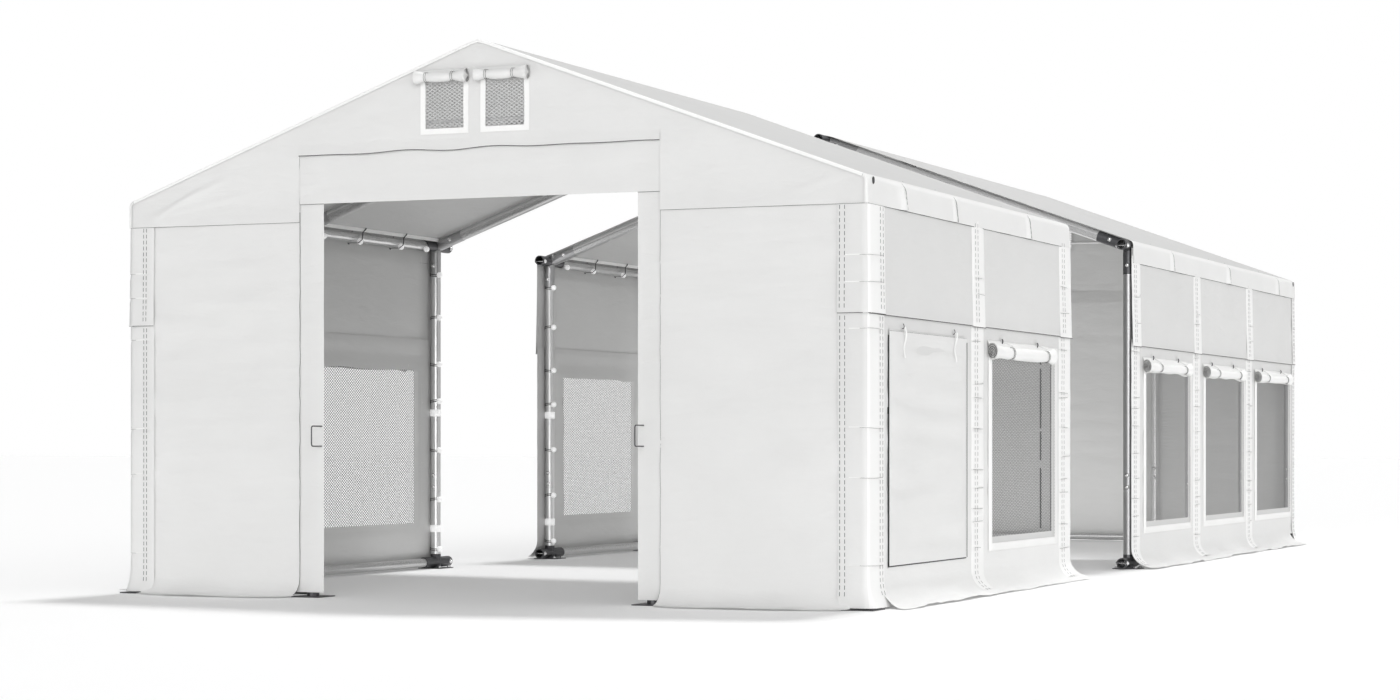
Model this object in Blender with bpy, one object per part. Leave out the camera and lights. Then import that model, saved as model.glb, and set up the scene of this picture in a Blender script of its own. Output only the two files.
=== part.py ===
"""Marquee tent of white coated cloth on a round steel tube frame.

Seven portal frames stand two metres apart. The third bay from the front has
no cover and no tubes along it, so the tent stands in two halves.
Metres, +Z up, +Y from the front gable to the rear one. The origin lies on the
ground in the middle of the tent.
"""

import math

import bmesh
import bpy
from mathutils import Vector

# Frame
HALF_SPAN = 2.47
FRAME_Y = (-5.975, -4.0, -2.0, 0.0, 2.0, 4.0, 5.975)
FRONT_FRAMES = (0, 1, 2)
REAR_FRAMES = (3, 4, 5, 6)
TUBE_R = 0.038
SLEEVE_R = 0.0395
HUB_R = 0.0405
RAIL_R = 0.034
TIE_R = 0.0135
STUB_LENGTH = 0.20
RAFTER_SLEEVE = 0.25
RIDGE_SLEEVE = 0.28
POST_SLEEVE = 0.215
FOOT_HEIGHT = 0.11
RAIL_HEIGHT = 0.048
PLATE_SIDE = 0.20
PLATE_THICK = 0.006
POST_LIFT = 0.002
SLEEVE_LIFT = 0.001
BORE_PAST_END = 0.01
SLEEVE_INTO_HUB = 0.020
DOOR_POST_X = 1.17
FRONT_DOOR_SHIFT = -0.0245
DOOR_TUBE_HEIGHT = 2.50
TIE_HEIGHT = 2.94
GAP = 0.0003
SIDES = 12
TIE_SIDES = 8

# Cloth
CLOTH = 0.004
RIDGE_TOP = 3.434
PITCH = 0.3663
EAVE_OUT = 2.5225
VALANCE_BOTTOM = 2.348
ROOF_CLEARANCE = 0.002
FRONT_ROOF_END = -1.83
REAR_ROOF_START = -0.05
ROOF_FACE = 6.038
GABLE_FACE = 6.0325
PANEL_FACE = 6.027
JAMB_FACE = 6.0215
LIP_WIDTH = 0.030
LIP_THICK = 0.004
LIP_SET_IN = 0.001
WALL_OUT = 2.516
WALL_TOP = 2.46
WALL_END = 6.0205
SKIRT_SIDE = 0.195
SKIRT_SIDE_BEND = 0.19
SKIRT_GABLE = 0.26
SKIRT_GABLE_BEND = 0.13
SKIRT_HEIGHT = 0.15
SKIRT_STEPS = 5
SKIRT_TRIM_HEIGHT = 0.29
STRAP_BEFORE = 0.07
STRAP_AFTER = 0.19
STRAP_SET_IN = 0.001
STRAP_FOOT_TURN = 60.0
FRONT_WALL_END = -1.775
REAR_WALL_START = -0.07
LEFT_SHIFT = -0.08
STRAP_PROUD = 0.004
CORNER_STRAP_THICK = 0.005
CORNER_STRAP_SIDE_END = 5.74
STRAP_FRONT_WIDTH = 0.19
STRAP_TOP = 2.345
CORNER_R = 0.020
CORNER_BOTTOM = 0.012
PANEL_INNER_X = 1.236
PANEL_OUTER_X = 2.49
FACE_STEP = 0.0005
HEADER_BOTTOM = 2.46
HEADER_TOP = 2.80
HEADER_BACK = 6.0205
GABLE_NOTCH = 2.765
JAMB_INNER_RIGHT = 1.063
JAMB_INNER_LEFT = 1.090
JAMB_UNDER_PANEL = 0.03
JAMB_BOTTOM = 0.03
JAMB_TOP = 2.54

# Windows, measured along a bay from its front frame
BAYS_WITH_OPEN_WINDOW = (1, 3, 4, 5)
WINDOW_FROM = 0.354
WINDOW_TO = 1.80
WINDOW_BOTTOM = 0.312
WINDOW_TOP = 1.518
ROLL_FROM = 0.268
ROLL_TO = 1.66
ROLL_R = 0.047
ROLL_HEIGHT = 1.56
ROLL_INTO_CLOTH = 0.006
MESH_THICK = 0.0015
MESH_MARGIN = 0.03
MESH_BEHIND = 0.0007
GABLE_WINDOW_CENTRE = -0.025
GABLE_WINDOW_GAP = 0.151
GABLE_WINDOW_WIDTH = 0.263
GABLE_WINDOW_BOTTOM = 2.893
GABLE_WINDOW_TOP = 3.19
GABLE_ROLL_R = 0.037
GABLE_ROLL_HEIGHT = 3.205
GABLE_ROLL_OVERHANG = 0.045
GABLE_ROLL_INTO_CLOTH = 0.005
GABLE_UNDER_ROOF = 0.0015

# Reaches of the boxes that cut cloth away, past the cloth on every side
CUT_PAST = 0.1
CUT_X = 2.6
CUT_Y = 7.0
CUT_OUT = 0.4

COS_PITCH = 1.0 / math.hypot(1.0, PITCH)
SIN_PITCH = PITCH * COS_PITCH
RIDGE_AXIS = RIDGE_TOP - (CLOTH + ROOF_CLEARANCE + HUB_R) / COS_PITCH
EAVE_AXIS = RIDGE_AXIS - PITCH * HALF_SPAN
POST_TOP = EAVE_AXIS - POST_SLEEVE


def clear_scene():
    for obj in list(bpy.data.objects):
        bpy.data.objects.remove(obj)


def material(name, colour, roughness, metallic):
    mat = bpy.data.materials.new(name)
    mat.use_nodes = True
    shader = mat.node_tree.nodes["Principled BSDF"]
    shader.inputs["Base Color"].default_value = (*colour, 1.0)
    shader.inputs["Roughness"].default_value = roughness
    shader.inputs["Metallic"].default_value = metallic
    return mat


def new_object(name, mesh):
    obj = bpy.data.objects.new(name, mesh)
    bpy.context.scene.collection.objects.link(obj)
    return obj


def mesh_from(bm, name):
    bmesh.ops.recalc_face_normals(bm, faces=bm.faces)
    mesh = bpy.data.meshes.new(name)
    bm.to_mesh(mesh)
    bm.free()
    return mesh


def tube(start, end, radius, sides=SIDES):
    """A round bar between two points."""
    start, end = Vector(start), Vector(end)
    axis = (end - start).normalized()
    across = axis.orthogonal().normalized()
    if abs(axis.z) < 0.999:
        across = axis.cross(Vector((0, 0, 1))).normalized()
    up = axis.cross(across)
    bm = bmesh.new()
    rings = []
    for centre in (start, end):
        ring = []
        for i in range(sides):
            turn = 2 * math.pi * (i + 0.5) / sides
            ring.append(bm.verts.new(centre + radius * (math.cos(turn) * across + math.sin(turn) * up)))
        rings.append(ring)
    bm.faces.new(rings[0])
    bm.faces.new(rings[1][::-1])
    for i in range(sides):
        j = (i + 1) % sides
        bm.faces.new((rings[0][i], rings[0][j], rings[1][j], rings[1][i]))
    return mesh_from(bm, "tube")


def prism(outline, low, high, axis):
    """An outline extruded along X, Y or Z. Its points hold the two other coordinates, in order."""
    bm = bmesh.new()
    rings = []
    for level in (low, high):
        ring = []
        for a, b in outline:
            place = {"X": (level, a, b), "Y": (a, level, b), "Z": (a, b, level)}[axis]
            ring.append(bm.verts.new(place))
        rings.append(ring)
    bm.faces.new(rings[0])
    bm.faces.new(rings[1][::-1])
    count = len(outline)
    for i in range(count):
        j = (i + 1) % count
        bm.faces.new((rings[0][i], rings[0][j], rings[1][j], rings[1][i]))
    return mesh_from(bm, "prism")


def box(low, high):
    (x0, y0, z0), (x1, y1, z1) = low, high
    return prism([(x0, y0), (x1, y0), (x1, y1), (x0, y1)], z0, z1, "Z")


def offset_path(path, distance):
    """The path moved to its right-hand side by a distance, with mitred corners."""
    moved = []
    for i, (x, y) in enumerate(path):
        normals = []
        for a, b in ((i - 1, i), (i, i + 1)):
            if a < 0 or b >= len(path):
                continue
            dx, dy = path[b][0] - path[a][0], path[b][1] - path[a][1]
            length = math.hypot(dx, dy)
            normals.append((dy / length, -dx / length))
        nx = sum(n[0] for n in normals) / len(normals)
        ny = sum(n[1] for n in normals) / len(normals)
        scale = distance / (nx * nx + ny * ny)
        moved.append((x + nx * scale, y + ny * scale))
    return moved


def sheet_outline(path, thickness, start=0.0):
    """The closed outline of a sheet whose outer face follows the path."""
    return offset_path(path, start) + offset_path(path, start + thickness)[::-1]


def arc(cx, cy, radius, first, last, steps):
    """Points on an arc, from one angle to another in degrees."""
    points = []
    for i in range(steps + 1):
        turn = math.radians(first + (last - first) * i / steps)
        points.append((cx + radius * math.cos(turn), cy + radius * math.sin(turn)))
    return points


def fuse(name, shapes, mat, cuts=()):
    """One object from overlapping shapes, less the cuts."""
    obj = new_object(name, shapes[0])
    helpers = []
    for operation, meshes in (("UNION", shapes[1:]), ("DIFFERENCE", cuts)):
        for mesh in meshes:
            helper = new_object("helper", mesh)
            helpers.append(helper)
            modifier = obj.modifiers.new(operation.lower(), "BOOLEAN")
            modifier.operation = operation
            modifier.solver = "EXACT"
            modifier.object = helper
    if helpers:
        bpy.context.view_layer.update()
        graph = bpy.context.evaluated_depsgraph_get()
        joined = bpy.data.meshes.new_from_object(obj.evaluated_get(graph))
        obj.modifiers.clear()
        obj.data = joined
        for helper in helpers:
            bpy.data.objects.remove(helper)
    obj.data.name = name
    obj.data.materials.clear()
    obj.data.materials.append(mat)
    obj.data.shade_smooth()
    obj.data.set_sharp_from_angle(angle=math.radians(35))
    return obj


def mirror_x(points):
    return [(-x, y) for x, y in points][::-1]


def side_name(side):
    return "right" if side > 0 else "left"


def rafter_point(side, run):
    """A point on a rafter's axis, run metres out from the ridge."""
    return side * run, RIDGE_AXIS - PITCH * run


def hub(index, x, z):
    """The connector along Y at a frame and its bore, in which the long tubes end or pass."""
    y = FRAME_Y[index]
    start = y if index == 0 else y - STUB_LENGTH
    end = y if index == len(FRAME_Y) - 1 else y + STUB_LENGTH
    bore_start = start if index == 0 else start - BORE_PAST_END
    bore_end = end if index == len(FRAME_Y) - 1 else end + BORE_PAST_END
    sleeve = tube((x, start, z), (x, end, z), HUB_R)
    return sleeve, tube((x, bore_start, z), (x, bore_end, z), RAIL_R + GAP)


def make_post(index, side, steel):
    x, y = side * HALF_SPAN, FRAME_Y[index]
    half = PLATE_SIDE / 2
    sleeve, bore = hub(index, x, RAIL_HEIGHT)
    shapes = [
        tube((x, y, POST_LIFT), (x, y, POST_TOP - GAP), TUBE_R),
        tube((x, y, SLEEVE_LIFT), (x, y, FOOT_HEIGHT), SLEEVE_R),
        box((x - half, y - half, 0.0), (x + half, y + half, PLATE_THICK)),
        sleeve,
    ]
    if index in (0, len(FRAME_Y) - 1):
        shapes.append(tube((x, y, RAIL_HEIGHT), (x - side * STUB_LENGTH, y, RAIL_HEIGHT), SLEEVE_R))
    fuse(f"post_{side_name(side)}_{index + 1}", shapes, steel, [bore])


def make_truss(index, steel):
    y = FRAME_Y[index]
    shapes = []
    bores = []
    for side in (-1, 1):
        ex, ez = rafter_point(side, HALF_SPAN)
        sx, sz = rafter_point(side, HALF_SPAN - RAFTER_SLEEVE * COS_PITCH)
        rx, rz = rafter_point(side, RIDGE_SLEEVE * COS_PITCH)
        shapes.append(tube((0, y, RIDGE_AXIS), (ex, y, ez), TUBE_R))
        shapes.append(tube((ex, y, ez), (sx, y, sz), SLEEVE_R))
        shapes.append(tube((0, y, RIDGE_AXIS), (rx, y, rz), SLEEVE_R))
        shapes.append(tube((ex, y, ez + SLEEVE_INTO_HUB), (ex, y, POST_TOP), SLEEVE_R))
    for x, z in ((0, RIDGE_AXIS), (-HALF_SPAN, EAVE_AXIS), (HALF_SPAN, EAVE_AXIS)):
        sleeve, bore = hub(index, x, z)
        shapes.append(sleeve)
        bores.append(bore)
    if index in (0, len(FRAME_Y) - 1):
        reach = (RIDGE_AXIS - TIE_HEIGHT) / PITCH
        shapes.append(tube((-reach, y, TIE_HEIGHT), (reach, y, TIE_HEIGHT), TIE_R, TIE_SIDES))
    fuse(f"truss_{index + 1}", shapes, steel, bores)


def make_long_tube(name, x, z, frames, steel):
    """A tube along one half of the tent. It passes through the connectors of the inner frames."""
    start = FRAME_Y[frames[0]] + GAP
    end = FRAME_Y[frames[-1]] - GAP
    fuse(name, [tube((x, start, z), (x, end, z), RAIL_R)], steel)


def make_gable_frame(name, way, shift, header, steel):
    """The door posts of a gable, with their plates, header tube and ground rails."""
    y = way * FRAME_Y[-1]
    half = PLATE_SIDE / 2
    rail_end = HALF_SPAN - STUB_LENGTH - GAP
    left, right = shift - DOOR_POST_X, shift + DOOR_POST_X
    shapes = []
    for side, x in ((-1, left), (1, right)):
        top = RIDGE_AXIS - PITCH * (abs(x) + TUBE_R) - TUBE_R / COS_PITCH - GAP
        shapes.append(tube((x, y, POST_LIFT), (x, y, top), TUBE_R))
        shapes.append(tube((x, y, SLEEVE_LIFT), (x, y, FOOT_HEIGHT), SLEEVE_R))
        shapes.append(box((x - half, y - half, 0.0), (x + half, y + half, PLATE_THICK)))
        shapes.append(tube((x, y, RAIL_HEIGHT), (side * rail_end, y, RAIL_HEIGHT), RAIL_R))
    height = DOOR_TUBE_HEIGHT if header else RAIL_HEIGHT
    shapes.append(tube((left, y, height), (right, y, height), RAIL_R))
    fuse(name, shapes, steel)


def roof_path():
    """The roof cover's outer line across the tent, from the left valance to the right one."""
    bend = CLOTH + ROOF_CLEARANCE + SLEEVE_R
    cx = EAVE_OUT - bend
    cz = RIDGE_TOP - PITCH * cx - bend / COS_PITCH
    tilt = 90.0 - math.degrees(math.atan(PITCH))
    right = [(0.0, RIDGE_TOP)] + arc(cx, cz, bend, tilt, 0.0, 4) + [(EAVE_OUT, VALANCE_BOTTOM)]
    return mirror_x(right[1:]) + right


def make_roof(name, start, end, lip_way, cloth):
    path = roof_path()
    shapes = [prism(sheet_outline(path, CLOTH), start, end, "Y")]
    face = lip_way * (ROOF_FACE - FACE_STEP)
    low, high = sorted((face, face - lip_way * LIP_THICK))
    shapes.append(prism(sheet_outline(path, LIP_WIDTH, LIP_SET_IN), low, high, "Y"))
    fuse(name, shapes, cloth)


def skirt_path(out, top, bend, last_turn=90.0):
    """A wall's outer line from its top down, with a bend outwards at its foot that ends flat on the ground."""
    points = [(out, top)]
    for i in range(SKIRT_STEPS + 1):
        turn = math.radians(last_turn * i / SKIRT_STEPS)
        height = CLOTH + (SKIRT_HEIGHT - CLOTH) * (1.0 - math.sin(turn))
        points.append((out + bend * (1.0 - math.cos(turn)), height))
    return points


def wall_outline(out, top, bend, run):
    """The closed cross-section of a wall sheet, which lies flat on the ground out to its hem."""
    outline = sheet_outline(skirt_path(out, top, bend) + [(out + run, CLOTH)], CLOTH)
    return [(x, max(z, 0.0)) for x, z in outline]


def strap_outline():
    """The cross-section of a strap, which stands proud of the wall and ends in the bend of its foot."""
    path = skirt_path(WALL_OUT, STRAP_TOP, SKIRT_SIDE_BEND, STRAP_FOOT_TURN)
    return sheet_outline(path, CLOTH / 2 + STRAP_PROUD, -STRAP_PROUD)


def turned(outline, side):
    """An outline for the right or front side, turned to the other side if asked."""
    return [(side * a, b) for a, b in outline]


def strap_ranges(side, frames):
    """Where the straps over the inner frames of a half lie along the tent."""
    shift = LEFT_SHIFT if side < 0 else 0.0
    ranges = []
    for index in frames:
        if index in (0, len(FRAME_Y) - 1):
            continue
        y = FRAME_Y[index] + shift
        end = FRONT_WALL_END + shift if index == FRONT_FRAMES[-1] else y + STRAP_AFTER
        ranges.append((y - STRAP_BEFORE, end))
    return ranges


def make_side_wall(name, side, start, end, frames, cloth):
    wall = turned(wall_outline(WALL_OUT, WALL_TOP, SKIRT_SIDE_BEND, SKIRT_SIDE), side)
    shapes = [prism(wall, start, end, "Y")]
    strap = turned(strap_outline(), side)
    for low, high in strap_ranges(side, frames):
        shapes.append(prism(strap, low + STRAP_SET_IN, high - STRAP_SET_IN, "Y"))
    way = -1 if frames == FRONT_FRAMES else 1
    shapes.append(prism(corner_outline(side, way), CORNER_BOTTOM, STRAP_TOP, "Z"))
    low, high = sorted((way * (WALL_END + CUT_PAST), way * CORNER_STRAP_SIDE_END))
    reach = sorted((side * (WALL_OUT + CORNER_STRAP_THICK), side * (WALL_OUT + CUT_OUT)))
    cuts = [box((reach[0], low, -CUT_PAST), (reach[1], high, SKIRT_TRIM_HEIGHT))]
    for bay in BAYS_WITH_OPEN_WINDOW:
        if bay not in frames or bay == frames[-1]:
            continue
        y = round(FRAME_Y[bay])
        reach = sorted((side * (WALL_OUT - CUT_PAST), side * (WALL_OUT + CUT_PAST)))
        cuts.append(box((reach[0], y + WINDOW_FROM, WINDOW_BOTTOM), (reach[1], y + WINDOW_TO, WINDOW_TOP)))
    wall = fuse(name, shapes, cloth, cuts)
    rolls = []
    for bay in BAYS_WITH_OPEN_WINDOW:
        if bay not in frames or bay == frames[-1]:
            continue
        y = round(FRAME_Y[bay])
        x = side * (WALL_OUT + ROLL_R - ROLL_INTO_CLOTH)
        rolls.append(tube((x, y + ROLL_FROM, ROLL_HEIGHT), (x, y + ROLL_TO, ROLL_HEIGHT), ROLL_R))
    body = wall.data
    bpy.data.objects.remove(wall)
    fuse(name, [body, *rolls], cloth)


def corner_outline(side, way):
    """The plan of the strap round a corner: along the side wall, round the corner and along the gable."""
    face_x = WALL_OUT + STRAP_PROUD
    outer = [(EAVE_OUT - STRAP_FRONT_WIDTH, GABLE_FACE)]
    outer += arc(face_x - CORNER_R, GABLE_FACE - CORNER_R, CORNER_R, 90.0, 0.0, 3)
    outer += [(face_x, CORNER_STRAP_SIDE_END)]
    outline = sheet_outline(outer, CORNER_STRAP_THICK)
    return [(side * x, way * y) for x, y in outline]


def make_gable_wall(name, low, high, way, cloth):
    """A wall across a gable. Its skirt is trimmed where the corner straps stand."""
    outline = wall_outline(PANEL_FACE, WALL_TOP, SKIRT_GABLE_BEND, SKIRT_GABLE)
    wall = prism([(way * y, z) for y, z in outline], low, high, "X")
    near, far = sorted((way * (PANEL_FACE + FACE_STEP), way * CUT_Y))
    cuts = []
    for side in (-1, 1):
        trim = sorted((side * (EAVE_OUT - STRAP_FRONT_WIDTH), side * CUT_X))
        if low < trim[1] and high > trim[0]:
            cuts.append(box((trim[0], near, -CUT_PAST), (trim[1], far, SKIRT_TRIM_HEIGHT)))
    fuse(name, [wall], cloth, cuts)


def gable_windows():
    """The X range of each small gable window."""
    ranges = []
    for side in (-1, 1):
        near = GABLE_WINDOW_CENTRE + side * GABLE_WINDOW_GAP / 2
        far = near + side * GABLE_WINDOW_WIDTH
        ranges.append(tuple(sorted((near, far))))
    return ranges


def make_gable(name, way, notch, cloth):
    """The triangle sheet of a gable. Over the doorway its hem is higher."""
    inner = offset_path(roof_path(), CLOTH + GABLE_UNDER_ROOF)
    top = inner[1:-1]
    outline = [(top[0][0], VALANCE_BOTTOM)] + top + [(top[-1][0], VALANCE_BOTTOM)]
    low, high = sorted((way * GABLE_FACE, way * (GABLE_FACE - CLOTH)))
    shapes = [prism(outline, low, high, "Y")]
    cuts = []
    near, far = low - CUT_PAST, high + CUT_PAST
    if notch:
        left, right = FRONT_DOOR_SHIFT - PANEL_INNER_X, FRONT_DOOR_SHIFT + PANEL_INNER_X
        cuts.append(box((left, near, VALANCE_BOTTOM - CUT_PAST), (right, far, GABLE_NOTCH)))
    rolls = []
    for a, b in gable_windows():
        cuts.append(box((a, near, GABLE_WINDOW_BOTTOM), (b, far, GABLE_WINDOW_TOP)))
        y = way * (GABLE_FACE + GABLE_ROLL_R - GABLE_ROLL_INTO_CLOTH)
        ends = (a - GABLE_ROLL_OVERHANG, b + GABLE_ROLL_OVERHANG)
        rolls.append(tube((ends[0], y, GABLE_ROLL_HEIGHT), (ends[1], y, GABLE_ROLL_HEIGHT), GABLE_ROLL_R))
    sheet = fuse(name, shapes, cloth, cuts)
    body = sheet.data
    bpy.data.objects.remove(sheet)
    fuse(name, [body, *rolls], cloth)


def make_door_surround(cloth):
    """The header panel over the doorway, sewn to the two strips that cover the door posts."""
    left, right = FRONT_DOOR_SHIFT - PANEL_INNER_X, FRONT_DOOR_SHIFT + PANEL_INNER_X
    shapes = [box((left, -PANEL_FACE, HEADER_BOTTOM), (right, -HEADER_BACK, HEADER_TOP))]
    strips = ((left - JAMB_UNDER_PANEL, -JAMB_INNER_LEFT), (JAMB_INNER_RIGHT, right + JAMB_UNDER_PANEL))
    for low, high in strips:
        shapes.append(box((low, -JAMB_FACE, JAMB_BOTTOM), (high, -JAMB_FACE + CLOTH, JAMB_TOP)))
    fuse("front_door_surround", shapes, cloth)


def make_side_mesh(name, side, frames, net):
    """The window net of one side wall of one half, one sheet behind all its windows."""
    bays = [bay for bay in BAYS_WITH_OPEN_WINDOW if bay in frames and bay != frames[-1]]
    start = round(FRAME_Y[bays[0]]) + WINDOW_FROM - MESH_MARGIN
    end = round(FRAME_Y[bays[-1]]) + WINDOW_TO + MESH_MARGIN
    middle = (HALF_SPAN + TUBE_R + WALL_OUT - CLOTH) / 2
    low, high = sorted((side * (middle - MESH_THICK / 2), side * (middle + MESH_THICK / 2)))
    shape = box((low, start, WINDOW_BOTTOM - MESH_MARGIN), (high, end, WINDOW_TOP + MESH_MARGIN))
    fuse(name, [shape], net)


def make_gable_mesh(name, way, net):
    ranges = gable_windows()
    face = GABLE_FACE - CLOTH - MESH_BEHIND
    low, high = sorted((way * face, way * (face - MESH_THICK)))
    shape = box((ranges[0][0] - MESH_MARGIN, low, GABLE_WINDOW_BOTTOM - MESH_MARGIN / 2),
                (ranges[1][1] + MESH_MARGIN, high, GABLE_WINDOW_TOP + MESH_MARGIN / 2))
    fuse(name, [shape], net)


def main():
    clear_scene()
    steel = material("tube_steel", (0.55, 0.55, 0.55), 0.35, 1.0)
    cloth = material("cover_cloth", (0.85, 0.85, 0.85), 0.5, 0.0)
    net = material("window_net", (0.35, 0.35, 0.35), 0.8, 0.0)
    for index in range(len(FRAME_Y)):
        make_truss(index, steel)
        for side in (-1, 1):
            make_post(index, side, steel)
    for part, frames in (("front", FRONT_FRAMES), ("rear", REAR_FRAMES)):
        make_long_tube(f"ridge_tube_{part}", 0.0, RIDGE_AXIS, frames, steel)
        for side in (-1, 1):
            x = side * HALF_SPAN
            make_long_tube(f"eave_tube_{side_name(side)}_{part}", x, EAVE_AXIS, frames, steel)
            make_long_tube(f"ground_rail_{side_name(side)}_{part}", x, RAIL_HEIGHT, frames, steel)
    make_gable_frame("front_gable_frame", -1, FRONT_DOOR_SHIFT, True, steel)
    make_gable_frame("rear_gable_frame", 1, 0.0, False, steel)
    make_roof("roof_cover_front", -ROOF_FACE, FRONT_ROOF_END, -1, cloth)
    make_roof("roof_cover_rear", REAR_ROOF_START, ROOF_FACE, 1, cloth)
    for side in (-1, 1):
        word = side_name(side)
        shift = LEFT_SHIFT if side < 0 else 0.0
        make_side_wall(f"wall_{word}_front", side, -WALL_END, FRONT_WALL_END + shift, FRONT_FRAMES, cloth)
        make_side_wall(f"wall_{word}_rear", side, REAR_WALL_START + shift, WALL_END, REAR_FRAMES, cloth)
        make_side_mesh(f"window_net_{word}_front", side, FRONT_FRAMES, net)
        make_side_mesh(f"window_net_{word}_rear", side, REAR_FRAMES, net)
        inner = FRONT_DOOR_SHIFT + side * PANEL_INNER_X
        make_gable_wall(f"front_panel_{word}", *sorted((inner, side * PANEL_OUTER_X)), -1, cloth)
    make_gable_wall("rear_wall", -PANEL_OUTER_X, PANEL_OUTER_X, 1, cloth)
    make_gable("gable_sheet_front", -1, True, cloth)
    make_gable("gable_sheet_rear", 1, False, cloth)
    make_gable_mesh("gable_net_front", -1, net)
    make_gable_mesh("gable_net_rear", 1, net)
    make_door_surround(cloth)


main()
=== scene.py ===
# %% [markdown]
# # A marquee tent in white coated cloth
# The tent is a row of steel portal frames with covers of white PVC-coated cloth laced to them. One bay
# has no cover, so the tent stands in two halves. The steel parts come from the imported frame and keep
# their shape. The cloth there is only plain slabs, so every cover is sewn again here as a thin sheet.
# A sheet could be simulated, but these covers are laced taut, and taut cloth is easier to control as a
# grid of points that follows a drawn line, with its folds added by formula.

import math

import bpy
import numpy as np
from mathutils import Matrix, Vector


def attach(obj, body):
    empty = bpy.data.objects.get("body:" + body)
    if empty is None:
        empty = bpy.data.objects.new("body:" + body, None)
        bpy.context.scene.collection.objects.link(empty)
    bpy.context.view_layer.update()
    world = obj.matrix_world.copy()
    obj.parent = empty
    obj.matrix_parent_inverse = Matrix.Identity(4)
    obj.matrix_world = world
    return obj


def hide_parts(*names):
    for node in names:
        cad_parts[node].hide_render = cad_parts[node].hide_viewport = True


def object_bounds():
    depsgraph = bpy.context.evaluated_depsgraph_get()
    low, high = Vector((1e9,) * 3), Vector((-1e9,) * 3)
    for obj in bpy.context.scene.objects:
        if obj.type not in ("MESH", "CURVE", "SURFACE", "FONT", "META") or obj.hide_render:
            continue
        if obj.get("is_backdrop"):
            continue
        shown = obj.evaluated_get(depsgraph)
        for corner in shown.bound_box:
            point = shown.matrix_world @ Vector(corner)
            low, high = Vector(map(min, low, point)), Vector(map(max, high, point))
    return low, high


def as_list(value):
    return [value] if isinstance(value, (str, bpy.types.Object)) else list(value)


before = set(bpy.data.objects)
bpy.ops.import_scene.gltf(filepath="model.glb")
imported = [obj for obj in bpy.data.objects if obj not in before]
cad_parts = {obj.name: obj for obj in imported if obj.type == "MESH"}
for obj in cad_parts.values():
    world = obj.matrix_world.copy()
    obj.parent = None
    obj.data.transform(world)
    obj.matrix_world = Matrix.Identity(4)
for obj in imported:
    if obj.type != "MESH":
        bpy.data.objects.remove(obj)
cad_low, cad_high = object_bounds()
print("frame box", [round(x, 3) for x in cad_low], [round(x, 3) for x in cad_high])

# %% [markdown]
# ## Camera, light and floor
# The view was found by fitting a level camera to the tent's own right angles and to its two metre bays.
# A level camera keeps the posts upright in the picture, and a small vertical shift puts the horizon
# where the photograph has it.

# %% Camera
camera_data = bpy.data.cameras.new("camera")
camera_data.lens = 74.26
camera_data.sensor_width = 36.0
camera_data.shift_y = 0.06656
camera_data.clip_end = 400.0
camera = bpy.data.objects.new("camera", camera_data)
bpy.context.scene.collection.objects.link(camera)
camera.location = (8.1594, -21.6905, 0.9637)
camera.rotation_euler = (math.radians(90), 0, math.radians(23.1318))
bpy.context.scene.camera = camera
bpy.context.scene.view_settings.view_transform = "Standard"
print("camera at", tuple(round(x, 2) for x in camera.location))

# %% [markdown]
# White cloth on a white ground needs an even white light, as in a large studio. Polished tubes need the
# opposite, something dark to reflect, or they look like paper. So the world is plain white where the
# camera looks at it. In every other direction it is brightest on the right and low down, and has soft
# darker strips.

# %% World light
SKY_BIAS = (0.46, 0.0, -0.08)
SKY_LIGHT = 0.54
world = bpy.data.worlds.new("studio")
bpy.context.scene.world = world
world.use_nodes = True
nodes, links = world.node_tree.nodes, world.node_tree.links
nodes.clear()
output = nodes.new("ShaderNodeOutputWorld")
mix = nodes.new("ShaderNodeMixShader")
seen = nodes.new("ShaderNodeBackground")
seen.inputs["Color"].default_value = (1, 1, 1, 1)
lit = nodes.new("ShaderNodeBackground")
lit.inputs["Color"].default_value = (1, 1, 1, 1)
direction = nodes.new("ShaderNodeTexCoord")
strips = nodes.new("ShaderNodeTexWave")
strips.wave_type, strips.bands_direction = "BANDS", "X"
strips.inputs["Scale"].default_value = 0.9
strips.inputs["Distortion"].default_value = 1.5
strips.inputs["Phase Offset"].default_value = 1.1
levels = nodes.new("ShaderNodeMapRange")
levels.inputs["To Min"].default_value = 0.5
levels.inputs["To Max"].default_value = 1.5
toward = nodes.new("ShaderNodeVectorMath")
toward.operation = "DOT_PRODUCT"
toward.inputs[1].default_value = SKY_BIAS
lifted = nodes.new("ShaderNodeMath")
lifted.inputs[1].default_value = SKY_LIGHT
strength = nodes.new("ShaderNodeMath")
strength.operation = "MULTIPLY"
path = nodes.new("ShaderNodeLightPath")
links.new(direction.outputs["Generated"], strips.inputs["Vector"])
links.new(direction.outputs["Generated"], toward.inputs[0])
links.new(toward.outputs["Value"], lifted.inputs[0])
links.new(strips.outputs["Fac"], levels.inputs["Value"])
links.new(levels.outputs["Result"], strength.inputs[0])
links.new(lifted.outputs["Value"], strength.inputs[1])
links.new(strength.outputs["Value"], lit.inputs["Strength"])
links.new(path.outputs["Is Camera Ray"], mix.inputs["Fac"])
links.new(lit.outputs["Background"], mix.inputs[1])
links.new(seen.outputs["Background"], mix.inputs[2])
links.new(mix.outputs["Shader"], output.inputs["Surface"])

# %% [markdown]
# A lamp stands high and straight behind the tent. It gives the soft shadow in front, which is widest
# under the ridge, and the bright strip that falls through the open bay. A low, very wide lamp in front
# lights the gable. Sheets of cloth also glow on the inside, where light comes back from the floor many
# times, so three large dim lamps stand in for that.

# %% Lamps


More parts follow.
